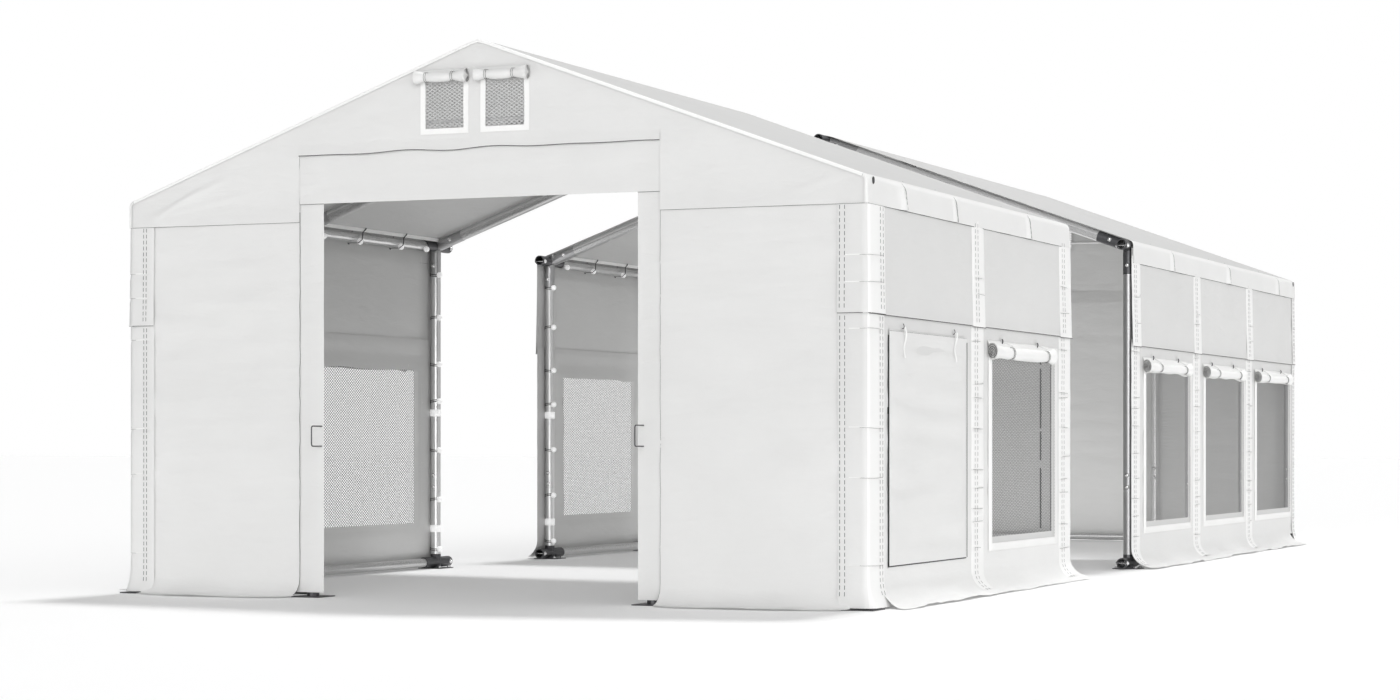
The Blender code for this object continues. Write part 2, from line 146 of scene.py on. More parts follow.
def far_lamp(name, toward_lamp, energy, spread):
    """A lamp so far off that only its direction counts."""
    lamp = bpy.data.lights.new(name, "SUN")
    lamp.energy = energy
    lamp.angle = math.radians(spread)
    made = bpy.data.objects.new(name, lamp)
    bpy.context.scene.collection.objects.link(made)
    made.rotation_euler = Vector(toward_lamp).to_track_quat("Z", "Y").to_euler()
    return made


def fill_lamp(name, place, back, width, length, watts):
    """A large dim lamp that the camera doesn't see; it shines away from the direction back."""
    lamp = bpy.data.lights.new(name, "AREA")
    lamp.shape = "RECTANGLE"
    lamp.size, lamp.size_y, lamp.energy = width, length, watts
    made = bpy.data.objects.new(name, lamp)
    bpy.context.scene.collection.objects.link(made)
    made.location = place
    made.rotation_euler = Vector(back).to_track_quat("Z", "Y").to_euler()
    made.visible_camera = False
    return made


far_lamp("high_lamp", (0.0, 0.46, 1.0), 1.76, 9)
far_lamp("front_lamp", (0.36, -0.93, 0.10), 1.78, 45)
fill_lamp("fill_front", (0.0, -3.9, 0.03), (0, 0, -1), 3.6, 3.4, 8)
fill_lamp("fill_rear", (0.0, 2.95, 0.03), (0, 0, -1), 3.6, 5.3, 42)
fill_lamp("fill_rear_wall", (0.0, 1.5, 0.9), (0, -1, 0), 3.6, 1.6, 22)
print("lamps set")

# %% [markdown]
# The floor is white paper that glows a little, as a light table does, so that it reaches the white of
# the background.

# %% Floor
FLOOR = 160.0
floor_mesh = bpy.data.meshes.new("floor")
floor_mesh.from_pydata([(-FLOOR, -FLOOR, 0), (FLOOR, -FLOOR, 0), (FLOOR, FLOOR, 0), (-FLOOR, FLOOR, 0)],
                       [], [(0, 1, 2, 3)])
floor = bpy.data.objects.new("floor", floor_mesh)
floor.location.z = -0.001
bpy.context.scene.collection.objects.link(floor)
paper = bpy.data.materials.new("floor_paper")
paper.use_nodes = True
paper_shader = paper.node_tree.nodes["Principled BSDF"]
paper_shader.inputs["Base Color"].default_value = (0.83, 0.83, 0.83, 1)
paper_shader.inputs["Roughness"].default_value = 0.9
paper_shader.inputs["Emission Color"].default_value = (1, 1, 1, 1)
paper_shader.inputs["Emission Strength"].default_value = 0.11
floor_mesh.materials.append(paper)
floor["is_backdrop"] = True

# %% [markdown]
# ## Finishes
# Two effects come back in several finishes: the fine grid of the cloth under its coating, and slow uneven
# patches of tone. Each is a node group with named sockets, built once and set for each finish. The grid
# reads the cloth's own coordinates in metres, which every sheet below keeps as its UV map, and the
# patches read the object's coordinates.

# %% A helper for node groups


def new_group(name, inputs, outputs):
    """A shader group with float inputs (name, value) and float outputs."""
    group = bpy.data.node_groups.new(name, "ShaderNodeTree")
    for label, value in inputs:
        socket = group.interface.new_socket(label, in_out="INPUT", socket_type="NodeSocketFloat")
        socket.default_value = value
    for label in outputs:
        group.interface.new_socket(label, in_out="OUTPUT", socket_type="NodeSocketFloat")
    return group, group.nodes.new("NodeGroupInput"), group.nodes.new("NodeGroupOutput")


def math_node(tree, operation, first, second=None, clamp=False):
    """A Math node whose inputs are sockets or numbers. Returns its output socket."""
    node = tree.nodes.new("ShaderNodeMath")
    node.operation = operation
    node.use_clamp = clamp
    for index, value in enumerate((first, second)):
        if isinstance(value, bpy.types.NodeSocket):
            tree.links.new(value, node.inputs[index])
        elif value is not None:
            node.inputs[index].default_value = value
    return node.outputs[0]


# %% Group: the woven base of coated cloth


def build_weave():
    """Warp and weft ridges from the sheet's own coordinates, as a height from 0 to 1."""
    group, inputs, outputs = new_group("cloth_weave", [("Threads per metre", 350.0)], ["Height"])
    uv = group.nodes.new("ShaderNodeUVMap")
    split = group.nodes.new("ShaderNodeSeparateXYZ")
    group.links.new(uv.outputs["UV"], split.inputs["Vector"])
    waves = []
    for axis in ("X", "Y"):
        turns = math_node(group, "MULTIPLY", split.outputs[axis], inputs.outputs["Threads per metre"])
        angle = math_node(group, "MULTIPLY", turns, math.tau)
        waves.append(math_node(group, "SINE", angle))
    both = math_node(group, "MULTIPLY", waves[0], waves[1])
    half = math_node(group, "MULTIPLY", both, 0.5)
    group.links.new(math_node(group, "ADD", half, 0.5), outputs.inputs["Height"])
    return group


def build_patches():
    """Slow uneven patches, as a tone from low to high."""
    group, inputs, outputs = new_group(
        "uneven_tone", [("Scale", 1.5), ("Low", 0.96), ("High", 1.0)], ["Tone"])
    place = group.nodes.new("ShaderNodeTexCoord")
    noise = group.nodes.new("ShaderNodeTexNoise")
    noise.inputs["Detail"].default_value = 5.0
    noise.inputs["Roughness"].default_value = 0.55
    spread = group.nodes.new("ShaderNodeMapRange")
    spread.inputs["From Min"].default_value = 0.3
    spread.inputs["From Max"].default_value = 0.7
    group.links.new(place.outputs["Object"], noise.inputs["Vector"])
    group.links.new(inputs.outputs["Scale"], noise.inputs["Scale"])
    group.links.new(noise.outputs["Fac"], spread.inputs["Value"])
    group.links.new(inputs.outputs["Low"], spread.inputs["To Min"])
    group.links.new(inputs.outputs["High"], spread.inputs["To Max"])
    group.links.new(spread.outputs["Result"], outputs.inputs["Tone"])
    return group


WEAVE = build_weave()
PATCHES = build_patches()
print("groups:", WEAVE.name, PATCHES.name)

# %% [markdown]
# Net is a grid of threads laid on the diagonal, with air between them. Modelling the threads would take
# millions of faces, so a group says for each point of a flat sheet whether a thread or a hole is there,
# and the holes are left out with Alpha.

# %% Group: diagonal net


def build_net():
    """1 on a thread and 0 in a hole, for threads along both diagonals of cells wider than high."""
    group, inputs, outputs = new_group(
        "diagonal_net", [("Cell width", 0.034), ("Cell height", 0.022), ("Thread", 0.28)], ["Mask"])
    uv = group.nodes.new("ShaderNodeUVMap")
    split = group.nodes.new("ShaderNodeSeparateXYZ")
    group.links.new(uv.outputs["UV"], split.inputs["Vector"])
    along = math_node(group, "DIVIDE", split.outputs["X"], inputs.outputs["Cell width"])
    down = math_node(group, "DIVIDE", split.outputs["Y"], inputs.outputs["Cell height"])
    masks = []
    for operation in ("ADD", "SUBTRACT"):
        share = math_node(group, operation, along, down)
        part = math_node(group, "FLOORED_MODULO", share, 1.0)
        masks.append(math_node(group, "LESS_THAN", part, inputs.outputs["Thread"]))
    group.links.new(math_node(group, "MAXIMUM", masks[0], masks[1]), outputs.inputs["Mask"])
    return group


NET = build_net()

# %% Materials


def new_material(name, colour, roughness, metallic=0.0):
    """A material, its tree and its Principled shader with even values."""
    made = bpy.data.materials.new(name)
    made.use_nodes = True
    shader = made.node_tree.nodes["Principled BSDF"]
    shader.inputs["Base Color"].default_value = (*colour, 1.0)
    shader.inputs["Roughness"].default_value = roughness
    shader.inputs["Metallic"].default_value = metallic
    return made, made.node_tree, shader


def use_group(tree, group, **values):
    node = tree.nodes.new("ShaderNodeGroup")
    node.node_tree = group
    for label, value in values.items():
        node.inputs[label.replace("_", " ")].default_value = value
    return node


def tinted(tree, tone, colour):
    """A colour made lighter and darker by a tone."""
    mix = tree.nodes.new("ShaderNodeMix")
    mix.data_type, mix.blend_type = "RGBA", "MULTIPLY"
    mix.inputs["Factor"].default_value = 1.0
    mix.inputs["A"].default_value = (*colour, 1.0)
    tree.links.new(tone, mix.inputs["B"])
    return mix.outputs["Result"]


def cloth_material(name, outside, inside, crease=0.35, roughness=0.48, glow=0.09, painted_floor_bounce=None):
    """Coated cloth: a pale outside, a darker inside that is painted shade, a faint woven grid and small
    soft creases. glow is the share of the light that shines through. The last argument is (height, loss):
    painted light from the floor, so hanging cloth is palest at the ground and duller by that loss at that height."""
    made, tree, shader = new_material(name, (outside,) * 3, roughness)
    patches = use_group(tree, PATCHES, Scale=1.7, Low=0.97, High=1.0)
    tone = patches.outputs["Tone"]
    # Painted light: the cloth is made paler towards the ground, for light coming back from the floor.
    if painted_floor_bounce:
        place = tree.nodes.new("ShaderNodeTexCoord")
        split = tree.nodes.new("ShaderNodeSeparateXYZ")
        floor_bounce_ramp = tree.nodes.new("ShaderNodeMapRange")
        floor_bounce_ramp.inputs["From Min"].default_value = 0.1
        floor_bounce_ramp.inputs["From Max"].default_value = painted_floor_bounce[0]
        floor_bounce_ramp.inputs["To Min"].default_value = 1.0
        floor_bounce_ramp.inputs["To Max"].default_value = 1.0 - painted_floor_bounce[1]
        tree.links.new(place.outputs["Object"], split.inputs["Vector"])
        tree.links.new(split.outputs["Z"], floor_bounce_ramp.inputs["Value"])
        tone = math_node(tree, "MULTIPLY", tone, floor_bounce_ramp.outputs["Result"])
    weave = use_group(tree, WEAVE)
    # Painted shade: faces seen from behind take the darker inside tone.
    back = tree.nodes.new("ShaderNodeNewGeometry")
    inside_shade_mix = tree.nodes.new("ShaderNodeMix")
    inside_shade_mix.data_type = "RGBA"
    tree.links.new(back.outputs["Backfacing"], inside_shade_mix.inputs["Factor"])
    for socket, value in (("A", outside), ("B", inside)):
        tree.links.new(tinted(tree, tone, (value, value, value * 0.992)), inside_shade_mix.inputs[socket])
    tree.links.new(inside_shade_mix.outputs["Result"], shader.inputs["Base Color"])
    uv = tree.nodes.new("ShaderNodeUVMap")
    stretch = tree.nodes.new("ShaderNodeMapping")
    stretch.inputs["Scale"].default_value = (2.2, 6.5, 1.0)
    noise = tree.nodes.new("ShaderNodeTexNoise")
    noise.inputs["Scale"].default_value = 1.6
    noise.inputs["Detail"].default_value = 4.0
    noise.inputs["Roughness"].default_value = 0.5
    noise.inputs["Distortion"].default_value = 0.4
    tree.links.new(uv.outputs["UV"], stretch.inputs["Vector"])
    tree.links.new(stretch.outputs["Vector"], noise.inputs["Vector"])
    soft = tree.nodes.new("ShaderNodeBump")
    soft.inputs["Distance"].default_value = 0.02
    soft.inputs["Strength"].default_value = crease
    fine = tree.nodes.new("ShaderNodeBump")
    fine.inputs["Distance"].default_value = 0.0003
    fine.inputs["Strength"].default_value = 0.25
    tree.links.new(noise.outputs["Fac"], soft.inputs["Height"])
    tree.links.new(weave.outputs["Height"], fine.inputs["Height"])
    tree.links.new(soft.outputs["Normal"], fine.inputs["Normal"])
    tree.links.new(fine.outputs["Normal"], shader.inputs["Normal"])
    shader.inputs["Specular IOR Level"].default_value = 0.35
    through = tree.nodes.new("ShaderNodeBsdfTranslucent")
    through.inputs["Color"].default_value = (0.78, 0.78, 0.775, 1.0)
    share = tree.nodes.new("ShaderNodeMixShader")
    share.inputs["Fac"].default_value = glow
    tree.links.new(shader.outputs["BSDF"], share.inputs[1])
    tree.links.new(through.outputs["BSDF"], share.inputs[2])
    tree.links.new(share.outputs["Shader"], tree.nodes["Material Output"].inputs["Surface"])
    return made


# All covers are one white coated cloth. The darker roof and the slightly darker rear panels are painted shade.
PANEL = cloth_material("panel_cloth", 0.90, 0.70, painted_floor_bounce=(1.3, 0.12))
SIDE_PANEL = cloth_material("side_panel_cloth", 0.88, 0.68, painted_floor_bounce=(1.75, 0.148))
REAR_PANEL_SHADED = cloth_material("rear_panel_cloth_shaded", 0.82, 0.67, painted_floor_bounce=(1.75, 0.10))
ROOF_SHADED = cloth_material("roof_cloth_shaded", 0.63, 0.52)
VALANCE = cloth_material("valance_cloth", 0.88, 0.60, crease=0.2)
STRAP = cloth_material("strap_cloth", 0.99, 0.72, crease=0.2)
COVER = cloth_material("cover_cloth", 0.83, 0.60, crease=0.25)
HEM_SHADE_CLOTH = cloth_material("hem_shade_cloth", 0.70, 0.68, crease=0.1)
EDGE = cloth_material("edge_cloth", 0.98, 0.74, crease=0.1)


def net_material(name, tone):
    """Dull threads with air between them."""
    made, tree, shader = new_material(name, (tone,) * 3, 0.8)
    net = use_group(tree, NET)
    tree.links.new(net.outputs["Mask"], shader.inputs["Alpha"])
    patches = use_group(tree, PATCHES, Scale=3.0, Low=0.85, High=1.0)
    tree.links.new(tinted(tree, patches.outputs["Tone"], (tone,) * 3), shader.inputs["Base Color"])
    return made


def steel_material(name, colour, roughness, metallic, bump):
    """Zinc-coated metal: crystals of slightly different tone and gloss."""
    made, tree, shader = new_material(name, colour, roughness, metallic)
    place = tree.nodes.new("ShaderNodeTexCoord")
    crystals = tree.nodes.new("ShaderNodeTexVoronoi")
    crystals.inputs["Scale"].default_value = 140.0
    tree.links.new(place.outputs["Object"], crystals.inputs["Vector"])
    tone = tree.nodes.new("ShaderNodeMapRange")
    tone.inputs["To Min"].default_value = 0.97
    tone.inputs["To Max"].default_value = 1.02
    tree.links.new(crystals.outputs["Distance"], tone.inputs["Value"])
    tree.links.new(tinted(tree, tone.outputs["Result"], colour), shader.inputs["Base Color"])
    gloss = tree.nodes.new("ShaderNodeMapRange")
    gloss.inputs["To Min"].default_value = roughness - 0.03
    gloss.inputs["To Max"].default_value = roughness + 0.05
    tree.links.new(crystals.outputs["Distance"], gloss.inputs["Value"])
    tree.links.new(gloss.outputs["Result"], shader.inputs["Roughness"])
    noise = tree.nodes.new("ShaderNodeTexNoise")
    noise.inputs["Scale"].default_value = 180.0
    tree.links.new(place.outputs["Object"], noise.inputs["Vector"])
    rough = tree.nodes.new("ShaderNodeBump")
    rough.inputs["Distance"].default_value = 0.001
    rough.inputs["Strength"].default_value = bump
    tree.links.new(noise.outputs["Fac"], rough.inputs["Height"])
    tree.links.new(rough.outputs["Normal"], shader.inputs["Normal"])
    return made


def plain_material(name, colour, roughness, low=0.93, glow=0.0):
    """A small plain part with a slightly uneven tone. glow is painted light: an emission that makes the
    part brighter than the lamps alone make it."""
    made, tree, shader = new_material(name, colour, roughness)
    shader.inputs["Emission Color"].default_value = (1, 1, 1, 1)
    shader.inputs["Emission Strength"].default_value = glow
    patches = use_group(tree, PATCHES, Scale=25.0, Low=low, High=1.0)
    tree.links.new(tinted(tree, patches.outputs["Tone"], colour), shader.inputs["Base Color"])
    return made


NETTING = net_material("window_net", 0.19)
# Painted light: the gable net is the same net as the side net, in a paler tone.
LIT_GABLE_NETTING = net_material("gable_net", 0.60)
STEEL = steel_material("zinc_steel", (0.80, 0.80, 0.80), 0.33, 1.0, 0.0)
# Painted shade: the level tubes take a darker copy of the same zinc.
LEVEL_STEEL_SHADED = steel_material("level_zinc_shaded", (0.62, 0.62, 0.62), 0.28, 1.0, 0.0)
# Painted shade: the right posts take a darker copy of the same zinc.
ZINC_IN_SHADE = steel_material("zinc_in_painted_shade", (0.42, 0.42, 0.425), 0.38, 1.0, 0.0)
SLEEVE = steel_material("sleeve_steel", (0.50, 0.50, 0.505), 0.30, 1.0, 0.02)
DARK_CAST_AND_SHADE = steel_material("dark_connector_and_shade", (0.10, 0.10, 0.105), 0.42, 0.8, 0.20)
BOLT = steel_material("bright_bolt", (0.85, 0.85, 0.85), 0.25, 1.0, 0.0)
# Painted light: the white balls and bands glow by emission.
PLASTIC = plain_material("white_plastic", (0.95, 0.95, 0.95), 0.35, glow=0.28)
DARK_ELASTIC_AND_SHADE = plain_material("dark_elastic_and_shade", (0.05, 0.05, 0.05), 0.7)
# The two thread tones colour real stitches and also thin lines of painted shade in gaps and under hems.
DARK_THREAD_AND_SHADE = plain_material("dark_thread_and_shade", (0.12, 0.12, 0.12), 0.8)
PALE_THREAD_AND_SHADE = plain_material("pale_thread_and_shade", (0.30, 0.30, 0.30), 0.8)
ZIP_AND_SHADE = plain_material("zip_tape_and_shade", (0.05, 0.05, 0.05), 0.6)
print(len(bpy.data.materials), "materials")

# %% [markdown]
# ## Steel parts
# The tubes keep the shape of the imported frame. Their connectors and feet are the same solids with a dark
# cast finish, so each face takes the finish that its place asks for: a face is part of a connector where
# it lies on a sleeve, near the ridge, at an eave or at a foot.

# %% Finish the tubes
HALF_SPAN = 2.47
FRAME_Y = (-5.975, -4.0, -2.0, 0.0, 2.0, 4.0, 5.975)
EAVE_Z = 2.472
RIDGE_Z = 3.377
SLOPE = 0.3663


def finish_of(point, name):
    """0 for a tube, 1 for a sleeve that slides over tubes, 2 for a dark connector or foot, and 2 as painted shade on
    the right ends of trusses 3 and 4.
    """
    x, y, z = point
    if name.startswith("post") or "gable_frame" in name:
        return 2 if z < 0.112 else 0
    # Painted shade: beside the open bay the right ends of the trusses take the dark finish.
    if name in ("truss_3", "truss_4") and x > 2.234:
        return 2
    if not name.startswith("truss") or (TIE_LOW < z < TIE_HIGH and abs(x) < 1.19):
        return 0
    if abs(x) > 2.415:
        return 1 if z < EAVE_Z - 0.045 else 2
    if abs(x) < 0.262 or abs(x) > 2.234:
        return 1 if abs(x) > 0.05 else 2
    return 0


TIE_LOW, TIE_HIGH = 2.92, 2.96
counts = [0, 0, 0]
for name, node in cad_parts.items():
    if not (name.startswith(("post", "truss", "ridge", "eave", "ground")) or "gable_frame" in name):
        continue
    node.data.materials.clear()
    for finish in (STEEL, SLEEVE, DARK_CAST_AND_SHADE):
        node.data.materials.append(finish)
    for face in node.data.polygons:
        face.material_index = finish_of(face.center, name)
        counts[face.material_index] += 1
print("faces of tubes, sleeves and connectors:", counts)

# %% [markdown]
# ## How a sheet is cut
# Each cover is a grid: lines across it and lines down it, and a rule that turns a place on the flat cloth
# into a place in the air. Extra lines are put where an edge, a window or a fold needs them. Cells that
# fall in a window are left out. The flat place is kept as the UV map, in metres.

# %% Sheet helpers


def lines(low, high, step, *needed):
    """Places from low to high about a step apart, with every needed place among them."""
    marks = sorted({low, high, *[x for x in needed if low < x < high]})
    found = []
    for a, b in zip(marks, marks[1:]):
        count = max(1, round((b - a) / step))
        found += [a + (b - a) * i / count for i in range(count)]
    return np.array(found + [high])


def grid_mesh(across, down, place, holes=(), keep=None):
    """Points, faces and flat places of one sheet."""
    u, v = np.meshgrid(across, down, indexing="ij")
    points = np.stack(np.broadcast_arrays(*place(u, v)), axis=-1).reshape(-1, 3)
    mid_u, mid_v = np.meshgrid((across[1:] + across[:-1]) / 2, (down[1:] + down[:-1]) / 2, indexing="ij")
    kept = np.ones(mid_u.shape, bool)
    for u0, v0, u1, v1 in holes:
        kept &= ~((mid_u > u0) & (mid_u < u1) & (mid_v > v0) & (mid_v < v1))
    if keep is not None:
        kept &= keep(mid_u, mid_v)
    i, j = np.nonzero(kept)
    n = len(down)
    faces = np.stack([i * n + j, (i + 1) * n + j, (i + 1) * n + j + 1, i * n + j + 1], axis=1)
    used, faces = np.unique(faces, return_inverse=True)
    return points[used], faces.reshape(-1, 4), np.stack([u.ravel(), v.ravel()], axis=1)[used]


def build(name, sheets, material, outward=None, body="root"):
    """One object from several sheets. outward is a rule that gives the way out at a point."""
    points, faces, flats = [], [], []
    count = 0
    for p, f, flat in sheets:
        if outward is not None:
            a, b, c = p[f[:, 0]], p[f[:, 1]], p[f[:, 2]]
            normal = np.cross(b - a, c - a)
            if (normal * outward(a)).sum() < 0:
                f = f[:, ::-1]
        points.append(p)
        faces.append(f + count)
        flats.append(flat)
        count += len(p)
    points, flats = np.concatenate(points), np.concatenate(flats)
    faces = [face for f in faces for face in f.tolist()]
    mesh = bpy.data.meshes.new(name)
    mesh.from_pydata(points.tolist(), [], faces)
    uv = mesh.uv_layers.new(name="UVMap")
    corners = np.zeros(len(mesh.loops), np.int32)
    mesh.loops.foreach_get("vertex_index", corners)
    uv.data.foreach_set("uv", flats[corners].astype(np.float32).ravel())
    mesh.materials.append(material)
    mesh.shade_smooth()
    made = bpy.data.objects.new(name, mesh)
    bpy.context.scene.collection.objects.link(made)
    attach(made, body)
    return made


# %% [markdown]
# Cloth is never quite flat. Slow swells are a sum of a few seeded sine waves, and a single crease is a
# ridge along a line that fades at both ends. Both are real moves of the points, so they show in the
# outline and in the light from any side.

# %% Swells and creases


def swell(u, v, seed, size_u, size_v, count=12):
    """A smooth irregular height of about -1 to 1, with waves of about the given sizes in metres."""
    rng = np.random.default_rng(seed)
    total = np.zeros(np.broadcast(u, v).shape)
    for _ in range(count):
        turn, pace, start = rng.uniform(0, math.tau), rng.uniform(0.5, 1.6), rng.uniform(0, math.tau)
        phase = np.cos(turn) * u / size_u + np.sin(turn) * v / size_v
        total = total + np.sin(math.tau * pace * phase + start)
    return total / math.sqrt(count)


def crease(u, v, start, end, width):
    """A ridge of height 1 along a line, fading at both ends."""
    du, dv = end[0] - start[0], end[1] - start[1]
    length = math.hypot(du, dv)
    along = ((u - start[0]) * du + (v - start[1]) * dv) / length**2
    off = ((u - start[0]) * dv - (v - start[1]) * du) / length
    return np.exp(-((off / width) ** 2)) * np.exp(-(((along - 0.5) / 0.4) ** 4))


# %% [markdown]
# Small parts are round bars bent along a path, or turned solids such as balls and bolt heads. Rows of
# them are joined into one mesh.

# %% Small shape helpers


def tube_mesh(path, radius, sides=6, closed=False):
    """A round bar along a path of points."""
    path = np.array(path, float)
    count = len(path)
    if closed:
        ahead = np.roll(path, -1, axis=0) - np.roll(path, 1, axis=0)
    else:
        ahead = np.gradient(path, axis=0)
    ahead /= np.linalg.norm(ahead, axis=1)[:, None]
    guide = np.array([0.0, 0.0, 1.0]) if abs(ahead[:, 2]).max() < 0.95 else np.array([1.0, 0.13, 0.0])
    a = np.cross(ahead, guide)
    a /= np.linalg.norm(a, axis=1)[:, None]
    b = np.cross(ahead, a)
    turn = np.arange(sides) * math.tau / sides
    ring = np.cos(turn)[None, :, None] * a[:, None] + np.sin(turn)[None, :, None] * b[:, None]
    points = (path[:, None] + radius * ring).reshape(-1, 3)
    faces = []
    for i in range(count if closed else count - 1):
        k = (i + 1) % count
        for j in range(sides):
            m = (j + 1) % sides
            faces.append((i * sides + j, i * sides + m, k * sides + m, k * sides + j))
    return points, np.array(faces), np.zeros((len(points), 2))


def turned(profile, centre, aim, sides=12):
    """A turned solid: profile gives (distance along aim, radius) from its base to its tip."""
    aim = np.array(aim, float) / np.linalg.norm(aim)
    guide = np.array([0.0, 0.0, 1.0]) if abs(aim[2]) < 0.9 else np.array([1.0, 0.0, 0.0])
    a = np.cross(aim, guide)
    a /= np.linalg.norm(a)
    b = np.cross(aim, a)
    points, faces = [], []
    for along, radius in profile:
        for j in range(sides):
            t = math.tau * j / sides
            points.append(centre + aim * along + radius * (math.cos(t) * a + math.sin(t) * b))
    for i in range(len(profile) - 1):
        for j in range(sides):
            m = (j + 1) % sides
            faces.append((i * sides + j, i * sides + m, (i + 1) * sides + m, (i + 1) * sides + j))
    return np.array(points), np.array(faces), np.zeros((len(points), 2))


BALL_R = 0.0225
BALL = [(-BALL_R * math.cos(t), max(BALL_R * math.sin(t), 0.0003)) for t in np.linspace(0, math.pi, 9)]
BOLT_HEAD = [(0.0, 0.017), (0.002, 0.017), (0.002, 0.0115), (0.0095, 0.0115), (0.0115, 0.009), (0.0118, 0.0003)]


def small_piece(name, parts, material):
    made = build(name, parts, material)
    print(name, len(made.data.polygons), "faces")
    return made


# %% [markdown]
# The tubes of the frame have twelve flat sides, which break a reflection into stripes. A round tube a
# fraction of a millimetre thicker lies over each of them, so a highlight runs along it as it should.

# %% Round tubes over the frame's tubes
SKIN, SLEEVE_SKIN, RAIL_SKIN = 0.0384, 0.0399, 0.0344
STUB = 0.201


def skin(start, end, radius):
    """A round tube between two points."""
    return tube_mesh(np.linspace(start, end, 3), radius, 28)


bright, level, shaded_posts, sleeves, dark = [], [], [], [], []
for number, y in enumerate(FRAME_Y):
    for side in (-1, 1):
        x = side * HALF_SPAN

        def on_rafter(across, side=side, y=y):
            return (side * across, y, RIDGE_Z - SLOPE * across)
        # Right posts: painted shade in the darker zinc.
        (shaded_posts if side > 0 else bright).append(skin((x, y, 0.111), (x, y, 2.256), SKIN))
        # Painted shade: beside the open bay the right sleeves take the dark finish.
        beside_gap = number in (2, 3) and side > 0
        (dark if beside_gap else sleeves).append(skin((x, y, 2.258), (x, y, 2.43), SLEEVE_SKIN))
        level.append(skin(on_rafter(0.262), on_rafter(2.234), SKIN))
        (dark if beside_gap else sleeves).append(skin(on_rafter(2.236), on_rafter(2.43), SLEEVE_SKIN))
        sleeves.append(skin(on_rafter(0.045), on_rafter(0.260), SLEEVE_SKIN))
for y0, y1 in zip(FRAME_Y, FRAME_Y[1:]):
    if (y0, y1) != (-2.0, 0.0):
        for side in (-1, 1):
            x = side * HALF_SPAN
            level.append(skin((x, y0 + STUB, EAVE_Z), (x, y1 - STUB, EAVE_Z), SKIN))
            level.append(skin((x, y0 + STUB, 0.048), (x, y1 - STUB, 0.048), RAIL_SKIN))
        level.append(skin((0.0, y0 + STUB, RIDGE_Z), (0.0, y1 - STUB, RIDGE_Z), SKIN))
for x0, x1 in ((-2.26, -1.38), (-0.96, 0.96), (1.38, 2.26)):
    level.append(skin((x0, 5.975, 0.048), (x1, 5.975, 0.048), RAIL_SKIN))
for name, parts, finish in (("round_posts_left", bright, STEEL), ("round_level_tubes", level, LEVEL_STEEL_SHADED),
                            ("round_posts_right", shaded_posts, ZINC_IN_SHADE),
                            ("round_sleeves", sleeves, SLEEVE), ("round_sleeves_dark", dark, DARK_CAST_AND_SHADE)):
    small_piece(name, parts, finish)

# %% [markdown]
# ## Walls
# A wall hangs from under the roof's edge, straight down to a hand's height, and then runs out on the
# ground as a skirt. One drawn line holds that shape, measured along the cloth, and each wall is that
# line carried along the tent.

# %% The line of a hanging wall
WALL_TOP = 2.46
NET_TOP = 1.518


class Drop:
    """A line that hangs straight, bends out near the ground and lies on it, read by its length."""

    def __init__(self, top, rise, bend, run, foot=0.006):
        turns = np.linspace(0, math.pi / 2, 30)
        self.out = np.concatenate([[0.0], bend * (1 - np.cos(turns)), [run]])
        self.z = np.concatenate([[top], foot + (rise - foot) * (1 - np.sin(turns)), [foot - 0.002]])
        step = np.hypot(np.diff(self.out), np.diff(self.z))
        self.along = np.concatenate([[0.0], np.cumsum(step)])
        du, dz = np.gradient(self.out, self.along), np.gradient(self.z, self.along)
        du[0], dz[0] = 0.0, -1.0
        long = np.hypot(du, dz)
        self.normal = -dz / long, du / long
        self.length = self.along[-1]
        self.straight = top - rise

    def at(self, s):
        """Distance out, height, and the two parts of the way out of the cloth."""
        return [np.interp(s, self.along, x) for x in (self.out, self.z, *self.normal)]


def side_hem(y):
    """How far a side wall's hem runs out; it wanders in slow waves along the tent."""
    uneven = 0.05 * swell(y, 0 * y, 77, 0.45, 1.0) + 0.03 * swell(y, 0 * y, 78, 0.13, 1.0)
    return 0.87 + 0.11 * np.cos(math.pi * (y + 5.1) / 3.0) + uneven


def end_hem(x):
    """How far a gable wall's hem runs out; it is drawn in towards the corner straps."""
    return 1 - 0.62 * np.clip((np.abs(x) - 1.95) / 0.47, 0, 1) ** 1.5


def side_rule(side, base, drop, height):
    """The rule of a side wall: u runs along the tent and v down the cloth. The top hem of the windows
    is not quite straight, and the skirt spreads a little towards the corners."""
    def place(y, s):
        out, z, n_out, n_z = drop.at(s)
        out = out * side_hem(y)
        rise = height(y, s, z)
        wavy = 0.006 * np.exp(-(((z - NET_TOP) / 0.04) ** 2)) * swell(y, y * 0, 23, 0.45, 1.0)
        spread = 0.8 * np.clip(out - 0.05, 0, None) * np.exp(-(((np.abs(y) - SKIRT_TO) / 0.2) ** 2)) * np.sign(y)
        return side * (base + out + n_out * rise), y + spread, np.maximum(z + n_z * rise + wavy, 0.003)
    return place


def end_rule(way, base, drop, height):
    """The rule of a gable wall: u runs across the tent and v down the cloth."""
    def place(x, s):
        out, z, n_out, n_z = drop.at(s)
        rise = height(x, s, z)
        return x, way * (base + out * end_hem(x) + n_out * rise), np.maximum(z + n_z * rise, 0.003)
    return place


SKIRT_TO = 5.80
side_drop = Drop(WALL_TOP, 0.150, 0.186, 0.191)
end_drop = Drop(WALL_TOP, 0.120, 0.120, 0.236)
print("a side wall is cut", round(side_drop.length, 3), "m long, a gable wall", round(end_drop.length, 3))

# %% [markdown]
# A side wall is made of an upper and a lower panel, and the upper one laps over the lower one at chest
# height. Over each post a strap is sewn on from top to bottom. It is a flat band that stands a little
# proud, with two rows of stitches and small cross creases where the ties pull it in.

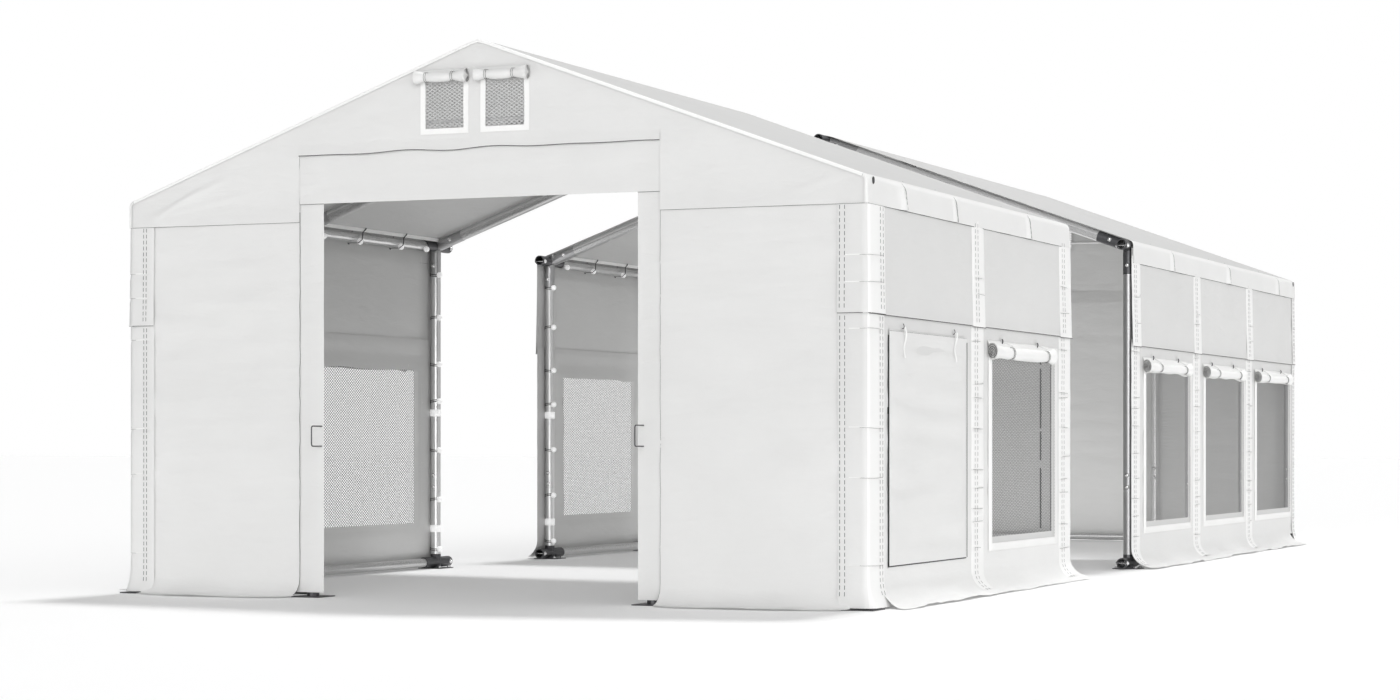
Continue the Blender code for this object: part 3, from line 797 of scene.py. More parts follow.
# %% Side wall measures
LAP = 1.715
WALL_BASE = 2.5135
STRAP_BEFORE, STRAP_AFTER = 0.07, 0.19
STITCH_ROWS = (0.058, 0.110)
WINDOW_OUTER = (0.285, 1.878)
WINDOW_INNER = (0.354, 1.80)
BORDER_BOTTOM, BORDER_INNER = 0.262, 0.312
SHADE_STRIP_BOTTOM, SHADE_STRIP_SIDE = 0.354, 1.739
LEFT_SHIFT = -0.08
FRONT_HALF = {"name": "front", "frames": (-6.0, -4.0, -2.0), "ends": (-6.02, -1.775), "bays": (-4.0,),
              "way": -1}
REAR_HALF = {"name": "rear", "frames": (0.0, 2.0, 4.0, 6.0), "ends": (-0.07, 6.02), "bays": (0.0, 2.0, 4.0),
             "way": 1}
HALVES = (FRONT_HALF, REAR_HALF)


def wall_ends(side, half):
    """Where a wall starts and ends; on the left its end at the open bay lies a little further forward."""
    shift = LEFT_SHIFT if side < 0 else 0.0
    return [y if abs(y) > 5 else y + shift for y in half["ends"]]


def strap_ranges(side, half):
    """Where the straps of a wall lie along the tent."""
    shift = LEFT_SHIFT if side < 0 else 0.0
    ranges = []
    for y in half["frames"]:
        if abs(y) < 5:
            end = wall_ends(side, half)[1] if y == -2.0 else y + STRAP_AFTER + shift
            ranges.append((y - STRAP_BEFORE + shift, end))
    return ranges


def upper_lean(z):
    """The upper panel stands off the wall more and more towards its hem."""
    return 0.0015 + 0.010 * np.clip((2.35 - z) / (2.35 - LAP), 0, 1) ** 1.4


def wall_swell(seed, size):
    def height(y, s, z):
        calm = np.clip(z / 0.5, 0.25, 1.0) * np.clip((2.44 - z) / 0.12, 0.0, 1.0)
        return size * calm * swell(y, s, seed, 0.9, 0.30) + 0.4 * size * calm * swell(y, s, seed + 1, 0.25, 0.12)
    return height


def skirt_ruffle(y, z, seed):
    """Uneven lifts of a hem that lies loose on the ground."""
    low = np.clip((0.12 - z) / 0.12, 0, 1)
    lift = 0.6 * swell(y, z * 0, seed, 0.9, 1.0) + 0.4 * swell(y, z * 0, seed + 1, 0.22, 1.0)
    return 0.0095 * low * np.clip(lift + 0.6, 0, None)


# %% Side wall panels
NEEDED_DOWN = [WALL_TOP - LAP, WALL_TOP - 1.76, WALL_TOP - BORDER_INNER, WALL_TOP - NET_TOP]


def skirt_kept(half, side, ends):
    """Leaves the skirt out behind the corner straps, and rounds it off at the open bay."""
    inner = ends[1] if half["way"] < 0 else ends[0]
    reach, depth = (0.34, 0.20) if side < 0 else (0.05, 0.04)

    def keep(y, s):
        behind = (np.abs(y) > SKIRT_TO) & (s > side_drop.straight + 0.05)
        du = np.clip(reach - np.abs(y - inner), 0, None) / reach
        ds = np.clip(s - (side_drop.length - depth), 0, None) / depth
        return ~behind & (np.hypot(du, ds) < 1)
    return keep


def calm_at_straps(y, side, half):
    """How much a wall may swell along y: a strap sewn on it holds it flat."""
    calm = np.ones(np.shape(y))
    for a, b in strap_ranges(side, half):
        past = np.maximum(np.maximum(a - y, y - b), 0)
        calm = np.minimum(calm, np.clip(0.25 + past / 0.2, 0.25, 1))
    return calm


def side_wall(side, half, seed):
    word = "right" if side > 0 else "left"
    name = f"wall_{word}_{half['name']}"
    edges = [e for r in strap_ranges(side, half) for e in r]
    holes = [(y + WINDOW_INNER[0], WALL_TOP - NET_TOP, y + WINDOW_INNER[1], WALL_TOP - BORDER_INNER)
             for y in half["bays"]]
    marks = edges + [e for h in holes for e in (h[0], h[2])]
    start, end = wall_ends(side, half)
    marks += [half["way"] * SKIRT_TO, *[start + 0.012 * k for k in range(1, 20)], *[end - 0.012 * k for k in range(1, 20)]]
    across = lines(start, end, 0.035, *marks)
    base = wall_swell(seed, 0.0022)
    low_lines = [side_drop.straight + 0.05, *[side_drop.length - 0.012 * k for k in range(1, 17)]]
    lower = grid_mesh(across, lines(WALL_TOP - 1.76, side_drop.length, 0.03, *NEEDED_DOWN, *low_lines),
                      side_rule(side, WALL_BASE, side_drop,
                                lambda y, s, z: base(y, s, z) * calm_at_straps(y, side, half)
                                * np.clip((1.74 - z) / 0.2, 0, 1)
                                + skirt_ruffle(y, z, seed + 5)), holes, skirt_kept(half, side, (start, end)))
    top = wall_swell(seed + 9, 0.0016)
    upper = grid_mesh(across, lines(0.0, WALL_TOP - LAP, 0.03),
                      side_rule(side, WALL_BASE, side_drop,
                                lambda y, s, z: upper_lean(z) + top(y, s, z)))
    made = build(name, [lower, upper], SIDE_PANEL if half is FRONT_HALF else REAR_PANEL_SHADED,
                 lambda p: np.array([side, 0, 0.3]))
    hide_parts(name)
    width = end - start
    area = width * (side_drop.length + 0.045) - sum((h[2] - h[0]) * (h[3] - h[1]) for h in holes)
    return made, (width, side_drop.length + 0.045), area


# %% [markdown]
# A strap's cross-section is a low hump with soft edges. Cross creases are narrow grooves at uneven
# heights. The strap of the upper panel ends at the lap, and the lower strap starts just under it.

# %% Straps
CREASES = (2.03, 1.90, 1.62, 1.36, 1.24, 1.05, 0.85, 0.67, 0.565, 0.45, 0.26)


def hump(share, high):
    """The height of a band across its width, from one edge at 0 to the other at 1."""
    return high * (1 - np.abs(2 * share - 1) ** 5)


def crease_marks(seed):
    """Height, middle, reach and tilt of each cross groove of a strap."""
    rng = np.random.default_rng(seed)
    marks = []
    for level in CREASES:
        at = level + rng.uniform(-0.06, 0.06)
        middle, reach = rng.uniform(0.3, 0.7), rng.uniform(0.35, 0.7)
        marks.append((at, middle, reach, rng.uniform(-0.012, 0.012)))
    return marks


def strap_creases(z, seed, share):
    """Small cross grooves; each reaches over a part of the strap's width."""
    depth = np.zeros(np.broadcast(z, share).shape)
    for at, middle, reach, tilt in crease_marks(seed):
        across = np.exp(-(((share - middle) / reach) ** 4))
        depth = depth + 0.0062 * across * np.exp(-(((z - at - tilt * share) / 0.0038) ** 2))
    return depth


STRAP_FOOT = side_drop.straight + 0.158


def strap_down(seed, low, high):
    """Lines down a strap, closer together at its creases and at its foot."""
    needed = [high - 0.015 * k for k in range(1, 10)]
    for at, *_ in crease_marks(seed):
        needed += [WALL_TOP - at + d for d in (-0.008, -0.004, 0.0, 0.004, 0.008)]
    return lines(low, high, 0.035, *needed)


def side_straps(side, half, seed):
    word = "right" if side > 0 else "left"
    sheets = []
    for index, (a, b) in enumerate(strap_ranges(side, half)):
        across = lines(a, b, 0.03, a + 0.004, a + 0.012, *[a + s + d for s in STITCH_ROWS for d in (-0.004, 0.004)],
                       b - 0.012, b - 0.004)
        key = seed + index
        lower = side_rule(side, WALL_BASE, side_drop, lambda y, s, z, a=a, b=b, key=key:
                          np.maximum(hump((y - a) / (b - a), 0.0065) - strap_creases(z, key, (y - a) / (b - a)), 0)
                          + 0.001 * swell(y, s, key, 0.3, 0.4))
        upper = side_rule(side, WALL_BASE, side_drop, lambda y, s, z, a=a, b=b, key=key:
                          upper_lean(z) * 1.15
                          + np.maximum(hump((y - a) / (b - a), 0.006) - strap_creases(z, key, (y - a) / (b - a)), 0))
        sheets.append(grid_mesh(across, strap_down(key, WALL_TOP - 1.735, STRAP_FOOT), lower))
        sheets.append(grid_mesh(across, strap_down(key, 0.06, WALL_TOP - LAP + 0.006), upper))
    made = build(f"straps_{word}_{half['name']}", sheets, STRAP, lambda p: np.array([side, 0, 0.3]))
    return made


# %% [markdown]
# ### Windows
# Each bay of a side wall has one window: a hole edged with a wide welded border, a net sewn in behind it,
# and a cover that is rolled up above it and held by two ties. The roll is a real spiral of cloth, so its
# ends show its turns.

# %% Borders and nets


def window_borders(side, half):
    word = "right" if side > 0 else "left"
    sheets = []
    for bay in half["bays"]:
        outer = (bay + WINDOW_OUTER[0], bay + WINDOW_OUTER[1])
        inner = (bay + WINDOW_INNER[0], bay + WINDOW_INNER[1])
        across = lines(outer[0], outer[1], 0.08, inner[0], inner[1], outer[0] + 0.003, outer[1] - 0.003)
        down = lines(WALL_TOP - 1.625, WALL_TOP - BORDER_BOTTOM, 0.08, WALL_TOP - NET_TOP,
                     WALL_TOP - BORDER_INNER, WALL_TOP - BORDER_BOTTOM - 0.003)
        hole = (inner[0], WALL_TOP - NET_TOP, inner[1], WALL_TOP - BORDER_INNER)

        def height(y, s, z, outer=outer):
            edge = np.minimum(y - outer[0], outer[1] - y)
            return 0.0034 + 0.0040 * np.clip(np.minimum(edge, z - BORDER_BOTTOM) / 0.003, 0, 1)
        sheets.append(grid_mesh(across, down, side_rule(side, WALL_BASE, side_drop, height), [hole]))
    made = build(f"window_borders_{word}_{half['name']}", sheets, EDGE, lambda p: np.array([side, 0, 0]))
    return made


NET_LIFT = 0.0026


def window_nets(side, half):
    word = "right" if side > 0 else "left"
    name = f"window_net_{word}_{half['name']}"
    sheets = []
    for bay in half["bays"]:
        across = lines(bay + 0.34, bay + 1.85, 0.1)
        down = lines(WALL_TOP - 1.60, WALL_TOP - 0.31, 0.1)
        sheets.append(grid_mesh(across, down, side_rule(side, WALL_BASE, side_drop, lambda y, s, z: NET_LIFT + 0 * y)))
    made = build(name, sheets, NETTING, lambda p: np.array([side, 0, 0]))
    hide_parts(name)
    return made


# %% Shade strips inside the borders


def window_shade_strips(side, half):
    """Grey strips that edge the net below and at its far side: painted shade along the border's inner
    edge. A layer lies on each side of the net."""
    word = "right" if side > 0 else "left"
    sheets = []
    for lift in (NET_LIFT + 0.0008, NET_LIFT - 0.0009):
        rule = side_rule(side, WALL_BASE, side_drop, lambda y, s, z, lift=lift: lift + 0 * y)
        for bay in half["bays"]:
            inner, outer = bay + WINDOW_INNER[0] - 0.01, bay + WINDOW_INNER[1] + 0.01
            sheets.append(grid_mesh(lines(inner, outer, 0.1), np.array([WALL_TOP - SHADE_STRIP_BOTTOM, WALL_TOP - 0.30]),
                                    rule))
            sheets.append(grid_mesh(np.array([bay + SHADE_STRIP_SIDE, outer]),
                                    lines(WALL_TOP - NET_TOP - 0.02, WALL_TOP - SHADE_STRIP_BOTTOM, 0.1), rule))
    made = build(f"window_shade_strips_{word}_{half['name']}", sheets, HEM_SHADE_CLOTH, lambda p: np.array([side, 0, 0]))
    return made


# %% The girth of a roll along its length


def roll_girth(u, start, end, ties, flared=0.33):
    """How thick a roll is at a place along it: flared at both ends, drawn in under its ties."""
    edge = np.minimum(u - start, end - u)
    flare = flared * np.exp(-((edge / 0.06) ** 2))
    pinch = sum(0.27 * np.exp(-(((u - t) / 0.035) ** 2)) for t in ties)
    return 1 + flare - pinch


# %% A rolled cover
TURNS, TURN_STEPS, LAST_STEPS = 6.5, 17, 6
LEAVES_AT = math.pi * 0.70


def roll_sheet(start, end, middle, radii, ties, seam, place, seed, sag, flared=0.33):
    """A wound cover along u. middle and radii are (out, up); seam is the height where it is sewn on."""
    steps = int(TURNS * TURN_STEPS)
    wound = np.linspace(0, math.tau * TURNS, steps)
    share = np.linspace(0.16, 1.0, steps)
    ends = [start + 0.015, start + 0.035, start + 0.06, end - 0.06, end - 0.035, end - 0.015]
    across = lines(start, end, (end - start) / 24, *ends, *[t + d for t in ties for d in (-0.03, 0.0, 0.03)])

    def rule(u, k):
        turn = np.interp(k, np.arange(steps), wound)
        part = np.interp(k, np.arange(steps), share)
        girth = 1 + (roll_girth(u, start, end, ties, flared) - 1) * part**1.5
        girth = girth + 0.035 * swell(u, turn * 0.1, seed, 0.3, 1.0) * part
        angle = LEAVES_AT - (wound[-1] - turn)
        along = np.clip((u - start) / (end - start), 0, 1)
        drop = sag * np.sin(math.pi * along) ** 2
        out = middle[0] + radii[0] * part * girth * np.cos(angle)
        up = middle[1] - drop + radii[1] * part * girth * np.sin(angle)
        last = np.clip((k - steps + 1) / LAST_STEPS, 0, 1)
        out = out + last * (0.003 - out)
        up = up + last * (seam - up)
        # the inner turns stick out a little further at the ends than the outer ones
        slip = 0.012 * (1 - part) * np.sign(u - (start + end) / 2) * (np.abs(along - 0.5) > 0.49)
        return place(u + slip, out, up)
    return grid_mesh(across, np.arange(steps + LAST_STEPS, dtype=float), rule)


def roll_end(at, way, middle, radii, girth, place):
    """The wound edge that shows in an open end: a shallow dish with a spiral groove."""
    def rule(angle, share):
        turn = share * TURNS - angle / math.tau
        groove = 0.0020 * (turn - np.floor(turn))
        reach = share * girth * 0.97
        out = middle[0] + radii[0] * reach * np.cos(angle)
        up = middle[1] + radii[1] * reach * np.sin(angle)
        return place(at - way * (0.003 + 0.006 * share + groove), out, up)
    return grid_mesh(np.linspace(0, math.tau, 33), np.linspace(0.04, 1.0, 40), rule)


def spiral_lines(at, way, middle, radii, girth, place):
    """Painted shade: dark lines for the gaps between the turns of a roll, seen at its end."""
    path = []
    for angle in np.linspace(1.2, math.tau * 3.4, 64):
        reach = angle / (math.tau * 3.6) * girth
        path.append(place(at + way * 0.0015, middle[0] + radii[0] * reach * math.cos(angle),
                          middle[1] + radii[1] * reach * math.sin(angle)))
    return tube_mesh(path, 0.0020, 5)


# %% Rolls of the side windows
ROLL_RADII = {"front": (0.029, 0.0435), "rear": (0.025, 0.036)}
ROLL_FLARE = {"front": 0.33, "rear": 0.56}
ROLL_MIDDLE = (0.036, 1.558)
ROLL_FROM, ROLL_TO, ROLL_SEAM = 0.268, 1.66, 1.632
SIDE_TIES = (0.69, 1.505)
SIDE_HOOKS = (0.56, 1.37)


def side_place(side):
    def place(y, out, z):
        return side * (WALL_BASE + out), y, z
    return place


def side_rolls(side, half, seed):
    word = "right" if side > 0 else "left"
    sheets, gaps = [], []
    place = side_place(side)
    radii, flared = ROLL_RADII[half["name"]], ROLL_FLARE[half["name"]]
    for index, bay in enumerate(half["bays"]):
        start, end = bay + ROLL_FROM, bay + ROLL_TO
        ties = [bay + t for t in SIDE_TIES]
        sheets.append(roll_sheet(start, end, ROLL_MIDDLE, radii, ties, ROLL_SEAM, place,
                                 seed + index, 0.006, flared))
        for at, way in ((start, -1), (end, 1)):
            sheets.append(roll_end(at, way, ROLL_MIDDLE, radii, 0.955 * (1 + flared), place))
            gaps.append(spiral_lines(at, way, ROLL_MIDDLE, radii, 0.9 * (1 + flared), place))
    build(f"roll_gap_shade_{word}_{half['name']}", gaps, DARK_THREAD_AND_SHADE)
    made = build(f"rolled_covers_{word}_{half['name']}", sheets, STRAP)
    return made


# %% [markdown]
# Two ties hold each roll. A tie is a flat tape that runs from a hook on the wall, slantwise down to the
# roll, and once round it. The hook is a bent wire on a small patch.

# %% Ties and hooks of the rolls


def tape(points, ways, width):
    """A flat tape along points; ways gives the direction across it at each point."""
    points, ways = np.array(points, float), np.array(ways, float)

    def rule(k, h):
        x, y, z = [np.interp(k, np.arange(len(points)), points[:, i]) for i in range(3)]
        a, b, c = [np.interp(k, np.arange(len(points)), ways[:, i]) for i in range(3)]
        return x + a * h, y + b * h, z + c * h
    return grid_mesh(np.arange(len(points), dtype=float), np.array([-width / 2, 0.0, width / 2]), rule)


def tie_round_roll(at, hook, middle, radii, place, width=0.020):
    """The tape round a roll at a place along it, and its slanting end up to the hook."""
    girth = 0.78
    ring, across = [], []
    for angle in np.linspace(0, math.tau, 25):
        out = middle[0] + (radii[0] * girth + 0.003) * math.cos(angle)
        up = middle[1] + (radii[1] * girth + 0.003) * math.sin(angle)
        ring.append(place(at, out, up))
        across.append((0, 1, 0))
    slant, slant_across = [], []
    for share in np.linspace(0, 1, 8):
        angle = math.pi * (0.42 + 0.12 * share)
        out = middle[0] + (radii[0] + 0.006) * math.cos(angle) * (1 - share) + share * (0.010 - middle[0])
        up = middle[1] + (radii[1] * 0.95 + 0.006) * math.sin(angle) * (1 - share) + share * (hook[1] - middle[1])
        slant.append(place(at + (hook[0] - at) * share, out, up))
        slant_across.append((0, 0.75, 0.65))
    return [tape(ring, across, width), tape(slant, slant_across, width * 0.8)]


def wire_hook(y, z, place, size=0.014):
    """A bent wire that stands out from the wall and turns up."""
    lean = 0.35 * size
    return [place(y + lean, 0.001, z - size), place(y + lean, 0.010, z - size), place(y, 0.016, z - size * 0.3),
            place(y - lean, 0.016, z + size * 0.5), place(y - lean, 0.011, z + size)]


def side_roll_ties(side, half):
    word = "right" if side > 0 else "left"
    tapes, hooks, edges = [], [], []
    place = side_place(side)
    radii = ROLL_RADII[half["name"]]
    for bay in half["bays"]:
        for tie, hook in zip(SIDE_TIES, SIDE_HOOKS):
            tapes += tie_round_roll(bay + tie, (bay + hook, 1.634), ROLL_MIDDLE, radii, place)
            hooks.append(tube_mesh(wire_hook(bay + hook, 1.634, place), 0.0042, 6))
            # Painted shade: a thin dark ring along each edge of a tie's tape.
            for shift in (-0.0125, 0.0125):
                ring = [place(bay + tie + shift, ROLL_MIDDLE[0] + (radii[0] * 0.80 + 0.0035) * math.cos(a),
                              ROLL_MIDDLE[1] + (radii[1] * 0.80 + 0.0035) * math.sin(a))
                        for a in np.linspace(0, math.tau, 25)[:-1]]
                edges.append(tube_mesh(ring, 0.0013, 5, closed=True))
            patch = side_rule(side, WALL_BASE, side_drop, lambda y, s, z: 0.0032 + 0 * y)
            tapes.append(grid_mesh(np.array([bay + hook - 0.016, bay + hook + 0.016]),
                                   np.array([WALL_TOP - 1.672, WALL_TOP - 1.612]), patch))
    taped = build(f"roll_ties_{word}_{half['name']}", tapes, EDGE)
    hooked = build(f"roll_hooks_{word}_{half['name']}", hooks, DARK_CAST_AND_SHADE)
    build(f"tie_edge_shade_{word}_{half['name']}", edges, DARK_THREAD_AND_SHADE)
    return taped, hooked


# %% [markdown]
# The first bay has its window closed. The cover hangs down over it, and its two ties hang loose. Dark
# strips under its sides and hem, dark lines along its right edge and top, and a dark patch at mid height
# on the left are painted shade of the gap round the cover.

# %% The closed window cover
FLAP = (-5.669, -4.195)
FLAP_LOW, FLAP_HIGH = 0.242, 1.63
LOOSE_TIES = (-5.42, -4.45)


def closed_cover(side, seed):
    word = "right" if side > 0 else "left"
    a, b = FLAP

    def height(y, s, z):
        edge = np.clip(np.minimum(np.minimum(y - a, b - y), z - FLAP_LOW) / 0.12, 0, 1)
        soft = np.clip((FLAP_HIGH - z) / 0.1, 0, 1)
        billow = 0.0095 * swell(y, s, seed, 1.6, 0.26) + 0.0030 * swell(y, s, seed + 1, 0.6, 0.09)
        corner = crease(y, z, (a + 0.02, FLAP_HIGH - 0.02), (a + 0.38, FLAP_HIGH - 0.30), 0.03)
        return 0.0088 + edge * soft * (billow + 0.009) + 0.004 * corner + 0.002 * (1 - edge)
    across = lines(a, b, 0.035, a + 0.01, b - 0.01)
    sheet = grid_mesh(across, lines(WALL_TOP - FLAP_HIGH, WALL_TOP - FLAP_LOW, 0.025),
                      side_rule(side, WALL_BASE, side_drop, height))
    made = build(f"closed_cover_{word}", [sheet], COVER, lambda p: np.array([side, 0, 0]))
    under = side_rule(side, WALL_BASE, side_drop, lambda y, s, z: 0.0052 + 0 * y)
    outline_strips = []
    place = side_place(side)
    # Painted shade: dark strips under the cover's edges and a small dark patch beside its left edge.
    for lo, hi, top, bottom in ((a - 0.008, a + 0.010, FLAP_HIGH - 0.03, FLAP_LOW),
                                (b - 0.010, b + 0.007, FLAP_HIGH - 0.03, FLAP_LOW),
                                (a - 0.008, b + 0.007, FLAP_LOW + 0.010, FLAP_LOW - 0.008),
                                (a - 0.020, a + 0.002, 1.175, 1.135)):
        outline_strips.append(grid_mesh(lines(lo, hi, 0.05), lines(WALL_TOP - top, WALL_TOP - bottom, 0.05), under))
    # Painted shade: dark lines along the cover's right edge and its top.
    seam = [place(b - 0.002, 0.0132, z) for z in lines(FLAP_LOW, FLAP_HIGH - 0.03, 0.1)]
    top = [place(y, 0.0105, FLAP_HIGH - 0.004) for y in lines(a, b, 0.1)]
    build(f"cover_edge_shade_{word}", [tube_mesh(seam, 0.0022, 5), tube_mesh(top, 0.0007, 5)], DARK_THREAD_AND_SHADE)
    outline_shaded = build(f"cover_outline_shade_{word}", outline_strips, ZIP_AND_SHADE, lambda p: np.array([side, 0, 0]))
    ties = []
    for number, y in enumerate(LOOSE_TIES):
        path, ways = [], []
        for share in np.linspace(0, 1, 14):
            bend = 0.010 * math.sin(share * 5 + number) * (1 - share * 0.3)
            path.append(place(y + bend, 0.022 + 0.006 * math.sin(share * 7 + number), 1.655 - 0.185 * share))
            ways.append((0.15 * side, 1.0, 0.25 * math.cos(share * 5 + number)))
        ties.append(tape(path, ways, 0.016))
        back = [place(y + 0.012 + 0.004 * k, 0.016 - 0.002 * k, 1.655 - 0.02 * k) for k in range(4)]
        ties.append(tape(back, [(0, 1, 0.2)] * 4, 0.016))
    tied = build(f"loose_ties_{word}", ties, EDGE)
    hooks = build(f"cover_hooks_{word}", [tube_mesh(wire_hook(y, 1.66, place), 0.0025, 6) for y in LOOSE_TIES],
                  DARK_CAST_AND_SHADE)
    return made, outline_shaded, tied, hooks


# %% Build the side walls
wall_pieces = {}
for side in (-1, 1):
    for number, half in enumerate(HALVES):
        seed = 40 + 10 * number + (100 if side > 0 else 0)
        wall, flat, area = side_wall(side, half, seed)
        straps = side_straps(side, half, seed + 3)
        borders = window_borders(side, half)
        shade_strips = window_shade_strips(side, half)
        window_nets(side, half)
        side_rolls(side, half, seed + 6)
        side_roll_ties(side, half)
        wall_pieces[wall.name] = (wall, flat, area, [straps, borders, shade_strips])
        print(wall.name, "cut", [round(x, 2) for x in flat], "area", round(area, 2))

for side in (-1, 1):
    closed_cover(side, 90 + side)

for wall, flat, area, extra in wall_pieces.values():
    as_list(extra)

# %% [markdown]
# ## Front and rear walls
# The front gable has a doorway between two narrow panels. The rear gable is closed by one wide wall.

# %% Gable walls
PANEL_BASE = 6.0245
DOOR_LEFT, DOOR_RIGHT = -1.2605, 1.211
PANEL_OUT = 2.42


def end_wall_height(seed, size):
    def height(x, s, z):
        calm = np.clip(z / 0.6, 0.2, 1.0) * np.clip((2.44 - z) / 0.3, 0.0, 1.0)
        return size * calm * (swell(x, s, seed, 1.1, 0.22) + 0.5 * swell(x, s, seed + 1, 0.5, 0.09)) \
            + skirt_ruffle(x, z, seed + 2) * 0.4
    return height


def rounded_corner(inner, reach, depth):
    """Leaves out the cells beyond a rounded bottom corner on the doorway side."""
    def keep(x, s):
        dx = np.clip(reach - np.abs(x - inner), 0, None) / reach
        ds = np.clip(s - (end_drop.length - depth), 0, None) / depth
        return np.hypot(dx, ds) < 1
    return keep


front_panels = []
for side in (-1, 1):
    word = "right" if side > 0 else "left"
    inner = DOOR_RIGHT if side > 0 else DOOR_LEFT
    low, high = sorted((inner, side * PANEL_OUT))
    fine = [inner + side * 0.012 * k for k in range(1, 25)]
    across = lines(low, high, 0.03, *fine)
    down = lines(0.0, end_drop.length, 0.025, *[end_drop.length - 0.008 * k for k in range(1, 20)])
    sheet = grid_mesh(across, down, end_rule(-1, PANEL_BASE, end_drop, end_wall_height(71 + side, 0.0042)),
                      keep=rounded_corner(inner, 0.30, 0.145))
    made = build(f"front_panel_{word}", [sheet], PANEL, lambda p: np.array([0, -1, 0.3]))
    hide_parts(f"front_panel_{word}")
    front_panels.append(made)

across = lines(-PANEL_OUT, PANEL_OUT, 0.045)
sheet = grid_mesh(across, lines(0.0, end_drop.length, 0.035),
                  end_rule(1, PANEL_BASE, end_drop, end_wall_height(77, 0.0035)))
rear_wall = build("rear_wall", [sheet], PANEL, lambda p: np.array([0, 1, 0.3]))
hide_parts("rear_wall")
print("front panels and rear wall, cut", round(end_drop.length, 2), "m long")

# %% [markdown]
# ## Corner straps
# At each corner a wide strap wraps round the post, from the gable to the side. It is one band whose plan
# is an L with a rounded corner, in an upper and a lower length as on the sides, and its foot spreads a
# little on the ground.

# %% Corner straps
CORNER_X, CORNER_Y, CORNER_R = 2.520, 6.0325, 0.022
ON_GABLE, ON_SIDE, ON_REAR_SIDE = 0.185, 0.262, 0.11
CORNER_FOOT = 0.012
CORNER_CREASES = (2.054, 1.898, 1.625, 1.052, 0.765, 0.254)
TURN_FROM = ON_GABLE - CORNER_R
TURN_LENGTH = math.pi / 2 * CORNER_R


def corner_plan(w):
    """Place and way out of the band's plan, at a length from its edge on the gable."""
    on_turn = np.clip((w - TURN_FROM) / TURN_LENGTH, 0, 1) * math.pi / 2
    x = CORNER_X - CORNER_R - np.clip(TURN_FROM - w, 0, None) + CORNER_R * np.sin(on_turn)
    past = np.clip(w - TURN_FROM - TURN_LENGTH, 0, None)
    y = CORNER_Y - CORNER_R + CORNER_R * np.cos(on_turn) - past
    return x, y, np.sin(on_turn), np.cos(on_turn)


def corner_rule(side, way, total, upper, lift=0.0):
    """The rule of a corner strap; lift raises what lies on it."""
    def place(w, s):
        x, y, nx, ny = corner_plan(w)
        z = np.maximum(WALL_TOP - s, CORNER_FOOT)
        share = w / total
        inside = np.exp(-(((share - 0.5) / 0.40) ** 8))
        above = [z - level + 0.004 * np.sin(9 * w + 40 * level) for level in CORNER_CREASES]
        creased = sum(np.exp(-((d / np.where(d > 0, 0.0024, 0.014)) ** 2)) for d in above)
        rise = hump(share, 0.004) - 0.0055 * inside * creased * (lift == 0) + lift
        if upper:
            rise = rise + 0.8 * upper_lean(z)
        else:
            foot = np.clip((0.18 - z) / 0.18, 0, 1) ** 2.0
            rise = rise + foot * (0.016 + 0.034 * nx**2)
        return side * (x + nx * rise), way * (y + ny * rise), z
    return place


def corner_strap(side, way):
    total = TURN_FROM + TURN_LENGTH + (ON_SIDE if way < 0 else ON_REAR_SIDE)
    marks = (TURN_FROM, TURN_FROM + TURN_LENGTH / 2, TURN_FROM + TURN_LENGTH, 0.004, total - 0.004)
    across = lines(0.0, total, 0.02, *marks, *[0.01 * k for k in range(1, 6)])
    creases = [WALL_TOP - level + d for level in CORNER_CREASES for d in (-0.0105, -0.007, -0.0035, 0.0, 0.0035, 0.007, 0.0105)]
    bottom = WALL_TOP - CORNER_FOOT
    foot = [bottom - 0.01 * k for k in range(1, 18)]

    def keep(w, s):
        """The lower corner on the gable is cut round."""
        dw = np.clip(0.055 - w, 0, None) / 0.055
        ds = np.clip(s - (bottom - 0.07), 0, None) / 0.07
        return np.hypot(dw, ds) < 1
    low = grid_mesh(across, lines(WALL_TOP - 1.735, bottom, 0.03, *creases, *foot),
                    corner_rule(side, way, total, False), keep=keep)
    high = grid_mesh(across, lines(0.115, WALL_TOP - LAP, 0.03, *creases), corner_rule(side, way, total, True))
    return [low, high]


corner_sheets = []
for side in (-1, 1):
    for way in (-1, 1):
        corner_sheets.append((side, way, corner_strap(side, way)))
for side, way, sheets in corner_sheets:
    name = f"corner_strap_{'right' if side > 0 else 'left'}_{'rear' if way > 0 else 'front'}"
    made = build(name, sheets, STRAP, lambda p, side=side, way=way: np.array([side, way, 0]))
    # Painted shade: the faces towards the gable take the panel cloth, which is duller than the strap cloth.
    made.data.materials.append(PANEL)
    for face in made.data.polygons:
        face.material_index = int(abs(face.normal.y) > 0.8)
    total = TURN_FROM + TURN_LENGTH + (ON_SIDE if way < 0 else ON_REAR_SIDE)
    f"wall_{name.split('_')[2]}_{name[name.rindex('_') + 1:]}"
print(len(corner_sheets), "corner straps")

# %% [markdown]
# ## Roof covers
# Each half has one roof sheet that runs from the hem of one valance over the ridge to the hem of the
# other. Across the tent it follows a drawn line with a soft bend at each eave. Between two frames it
# sags a little, over the gable it is pulled down and ends in a lip.

# %% The line across the roof
RIDGE_TOP, EAVE_OUT, EAVE_BEND, HEM = 3.434, 2.5225, 0.0465, 2.3475
SLANT = math.atan(SLOPE)


